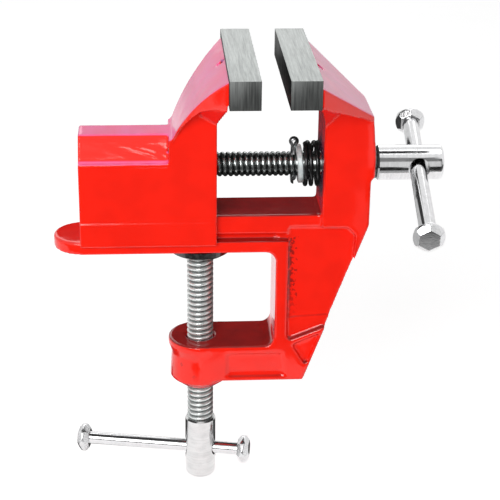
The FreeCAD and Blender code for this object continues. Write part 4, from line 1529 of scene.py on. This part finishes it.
@dataclass
class ClampScrew(SubAssembly):
    """Clamp screw with its head, and the pad on its tip."""

    body = "clamp_screw"
    thread: ScrewThread = ScrewThread(Axis.Z, (0.0, 0.0, 0.0), -64.5, -3.4, CLAMP_CREST,
                                      CLAMP_ROOT)
    tip: Rod = Rod(Axis.Z, (0.0, 0.0, 0.0), -4.5, -1.9, 2.4)

    def build(self) -> None:
        """Cut the clamp screw and dress the pad and head."""
        parts = (self.thread.build("thread"), self.tip.build("tip"))
        screw = Bench.join("clamp_thread", parts)
        self.keep(screw, "clamp_screw", "clamp_steel", CLAMP_STEEL)
        self.carry("clamp_head", CLAMP_CHROME)
        self.carry("clamp_pad", PAD_BLACK)


@dataclass(frozen=True)
class Lamp:
    """A soft panel lamp that aims at a point."""

    name: str
    place: Triple
    width: float
    height: float
    power: float
    aim: Triple = (0.0, 0.0, 0.0)

    def hang(self) -> None:
        """Add the lamp and point it at its aim."""
        lamp = Bench.new(self.name, bpy.ops.object.light_add, type="AREA", location=self.place)
        lamp.data.shape = "RECTANGLE"
        lamp.data.size = self.width
        lamp.data.size_y = self.height
        lamp.data.energy = self.power
        way = Vector(self.aim) - Vector(self.place)
        lamp.rotation_euler = way.to_track_quat("-Z", "Y").to_euler()


@dataclass(frozen=True)
class Card:
    """A glowing card that only shiny surfaces see, and only from the side it faces: a painted
    reflection.
    """

    name: str
    place: Triple
    side: Side
    width: float
    height: float
    tone: float

    def hang(self) -> None:
        """Add the card and give it its glow."""
        card = Bench.new(self.name, ops.primitive_plane_add, size=1.0)
        card.location = self.place
        card.rotation_euler = Vector(self.side.value).to_track_quat("-Z", "Y").to_euler()
        card.scale = (self.width, self.height, 1.0)
        Bench.settle(card)
        made = bpy.data.materials.new(self.name)
        graph = Graph.fresh(made)
        shine = graph.add("Emission", {"Color": (self.tone,) * 3 + (1.0,), "Strength": 1.0})
        clear = graph.add("BsdfTransparent")
        aimed = graph.add("NewGeometry", out="Backfacing")
        surface = graph.add("MixShader", {0: aimed, 1: clear, 2: shine})
        graph.add("OutputMaterial", {"Surface": surface})
        card.data.materials.append(made)
        card.visible_camera = card.visible_diffuse = card.visible_shadow = False


@dataclass
class Studio:
    """Floor, backdrop, lamps and camera. The floor lies under the lowest pose."""

    floor_height: float = -114.4
    floor_tones: tuple[float, float] = (0.88, 0.90)
    floor_glow: float = 0.45
    aim: Triple = (16.03, 0.0, -3.11)
    distance: float = 466.85
    pitch: float = 23.03
    yaw: float = -3.96
    roll: float = 0.73
    focal: float = 1455.83
    frame_width: float = 500.0
    sensor: float = 36.0
    sky: float = 0.28
    lamps: tuple[Lamp, ...] = (
        Lamp("key lamp", (-0.40, -1.05, 0.55), 0.7, 0.6, 11.0),
        Lamp("top lamp", (0.05, 0.10, 0.95), 0.8, 0.5, 1.9),
        Lamp("back lamp", (0.05, 1.10, 0.60), 1.3, 0.5, 2.2, (0.0, 0.0, 0.02)),
    )
    # Glossy-only cards that paint reflections: dark ones paint dark reflections where the shine
    # would show red or white, pale ones paint bright ones. Several hang inside the vise, by the
    # spindle, screws, rail, head and bars.
    cards: tuple[Card, ...] = (
        Card("front card", (0.0, -1.3, 0.50), Side.BACK, 2.4, 1.2, 0.12),
        Card("low card", (0.0, -0.70, -0.083), Side.UP, 2.4, 1.2, 0.10),
        Card("rear card", (0.019, 0.062, 0.008), Side.FRONT, 0.062, 0.074, 0.03),
        Card("tongue card", (-0.045, 0.062, 0.020), Side.FRONT, 0.024, 0.030, 0.03),
        Card("rear floor card", (-0.01, 0.036, -0.084), Side.UP, 0.12, 0.056, 0.05),
        Card("handle card", (0.0545, -0.016, 0.034), Side.RIGHT, 0.060, 0.0165, 0.05),
        Card("rear handle card", (0.0545, 0.024, 0.034), Side.RIGHT, 0.022, 0.064, 0.05),
        Card("rear pale card", (0.0545, 0.050, 0.040), Side.RIGHT, 0.030, 0.070, 0.80),
        Card("lower handle card", (0.0545, -0.016, -0.0015), Side.RIGHT, 0.060, 0.056, 0.60),
        Card("screw card", (0.0075, 0.019, -0.033), Side.LEFT, 0.042, 0.058, 0.02),
        Card("nut end card", (0.0056, 0.0, 0.0262), Side.RIGHT, 0.034, 0.026, 0.03),
        Card("spring end card", (0.0374, 0.0, 0.0262), Side.LEFT, 0.034, 0.034, 0.03),
        Card("under spindle card", (0.021, 0.0, 0.0165), Side.UP, 0.032, 0.018, 0.03),
        Card("over spindle card", (0.021, 0.004, 0.0375), Side.DOWN, 0.032, 0.016, 0.03),
        Card("head lower line", (0.0665, -0.025, 0.0167), Side.BACK, 0.026, 0.012, 0.02),
        Card("head card", (0.0665, -0.025, 0.0297), Side.BACK, 0.026, 0.0142, 0.80),
        Card("head upper line", (0.0665, -0.025, 0.0458), Side.BACK, 0.026, 0.018, 0.22),
        Card("head top line", (0.0665, -0.004, 0.075), Side.DOWN, 0.027, 0.018, 0.02),
        Card("knob floor card", (0.070, -0.058, -0.0250), Side.BACK, 0.030, 0.056, 0.42),
        Card("box card", (-0.024, 0.062, 0.063), Side.FRONT, 0.034, 0.030, 0.80),
        Card("lower bar card", (-0.006, 0.0, -0.0475), Side.DOWN, 0.092, 0.026, 0.05),
    )

    @staticmethod
    def seen(graph: Graph) -> Socket:
        """Find what the camera sees, itself, in a shine or through glass.

        Args:
            graph: Where the nodes go.

        Returns:
            1 for what it sees and 0 for the rest.
        """
        rays = graph.add("LightPath").node.outputs
        shown = graph.sum(rays["Is Camera Ray"], rays["Is Glossy Ray"], "MAXIMUM")
        return graph.sum(shown, rays["Is Transmission Ray"], "MAXIMUM")

    def build_sky(self) -> None:
        """Light the set evenly from all round."""
        world = bpy.context.scene.world = bpy.data.worlds.new("soft room")
        graph = Graph.fresh(world)
        strength = graph.scale(self.seen(graph), self.sky, 1.0)
        shine = graph.add("Background", {"Color": (1.0, 1.0, 1.0, 1.0), "Strength": strength})
        graph.add("OutputWorld", {"Surface": shine})

    def build_floor(self) -> None:
        """Lay the pale floor that keeps the shadow."""
        floor = Bench.new("floor", ops.primitive_plane_add, size=8.0,
                          location=metres((0.0, 0.0, self.floor_height)))
        made = bpy.data.materials.new("pale floor")
        graph = Graph.fresh(made)
        grain = graph.add("TexNoise", {"Vector": graph.place(), "Scale": 30.0})
        pale = graph.mix(grain, *((tone, tone, tone, 1.0) for tone in self.floor_tones))
        plain_floor = graph.add("BsdfPrincipled", {
            "Base Color": pale, "Roughness": 0.9, "Specular IOR Level": 0.0,
            "Emission Color": (1.0, 1.0, 1.0, 1.0),
            "Emission Strength": graph.scale(self.seen(graph), 0.0, self.floor_glow)})
        graph.add("OutputMaterial", {"Surface": plain_floor})
        floor.data.materials.append(made)

    def build_camera(self) -> None:
        """Set the camera up at the object's viewing angle."""
        pitch, yaw, roll = (math.radians(value) for value in (self.pitch, self.yaw, self.roll))
        back = Vector((math.sin(yaw) * math.cos(pitch), -math.cos(yaw) * math.cos(pitch),
                       math.sin(pitch)))
        right = (-back).cross(Vector((0.0, 0.0, 1.0))).normalized()
        up = right.cross(-back)
        across = right * math.cos(roll) + up * math.sin(roll)
        over = up * math.cos(roll) - right * math.sin(roll)
        camera = Bench.new("camera", bpy.ops.object.camera_add)
        camera.data.sensor_width = self.sensor
        camera.data.lens = self.sensor * self.focal / self.frame_width
        camera.data.clip_start = 0.01
        turn = Matrix((across, over, back)).transposed().to_4x4()
        place = metres(self.aim) + back * self.distance * MM
        camera.matrix_world = Matrix.Translation(place) @ turn
        bpy.context.scene.camera = camera

    def build(self) -> None:
        """Set up everything round the object."""
        bpy.context.scene.view_settings.view_transform = "Standard"
        self.build_sky()
        self.build_floor()
        for thing in (*self.lamps, *self.cards):
            thing.hang()
        self.build_camera()
        Bench.clear()
        log.info("studio: %d lamps, %d cards", len(self.lamps), len(self.cards))


def main() -> None:
    """Build and dress the whole vise, then the studio."""
    logging.basicConfig(level=logging.INFO, format="%(name)s %(message)s")
    for group in (Frame(), SlidingJaw(), Spindle(), SpindleHandle(), ClampScrew(), ClampHandle()):
        log.info("building %s", type(group).__name__)
        group.build()
    Studio().build()


if __name__ == "__main__":
    main()
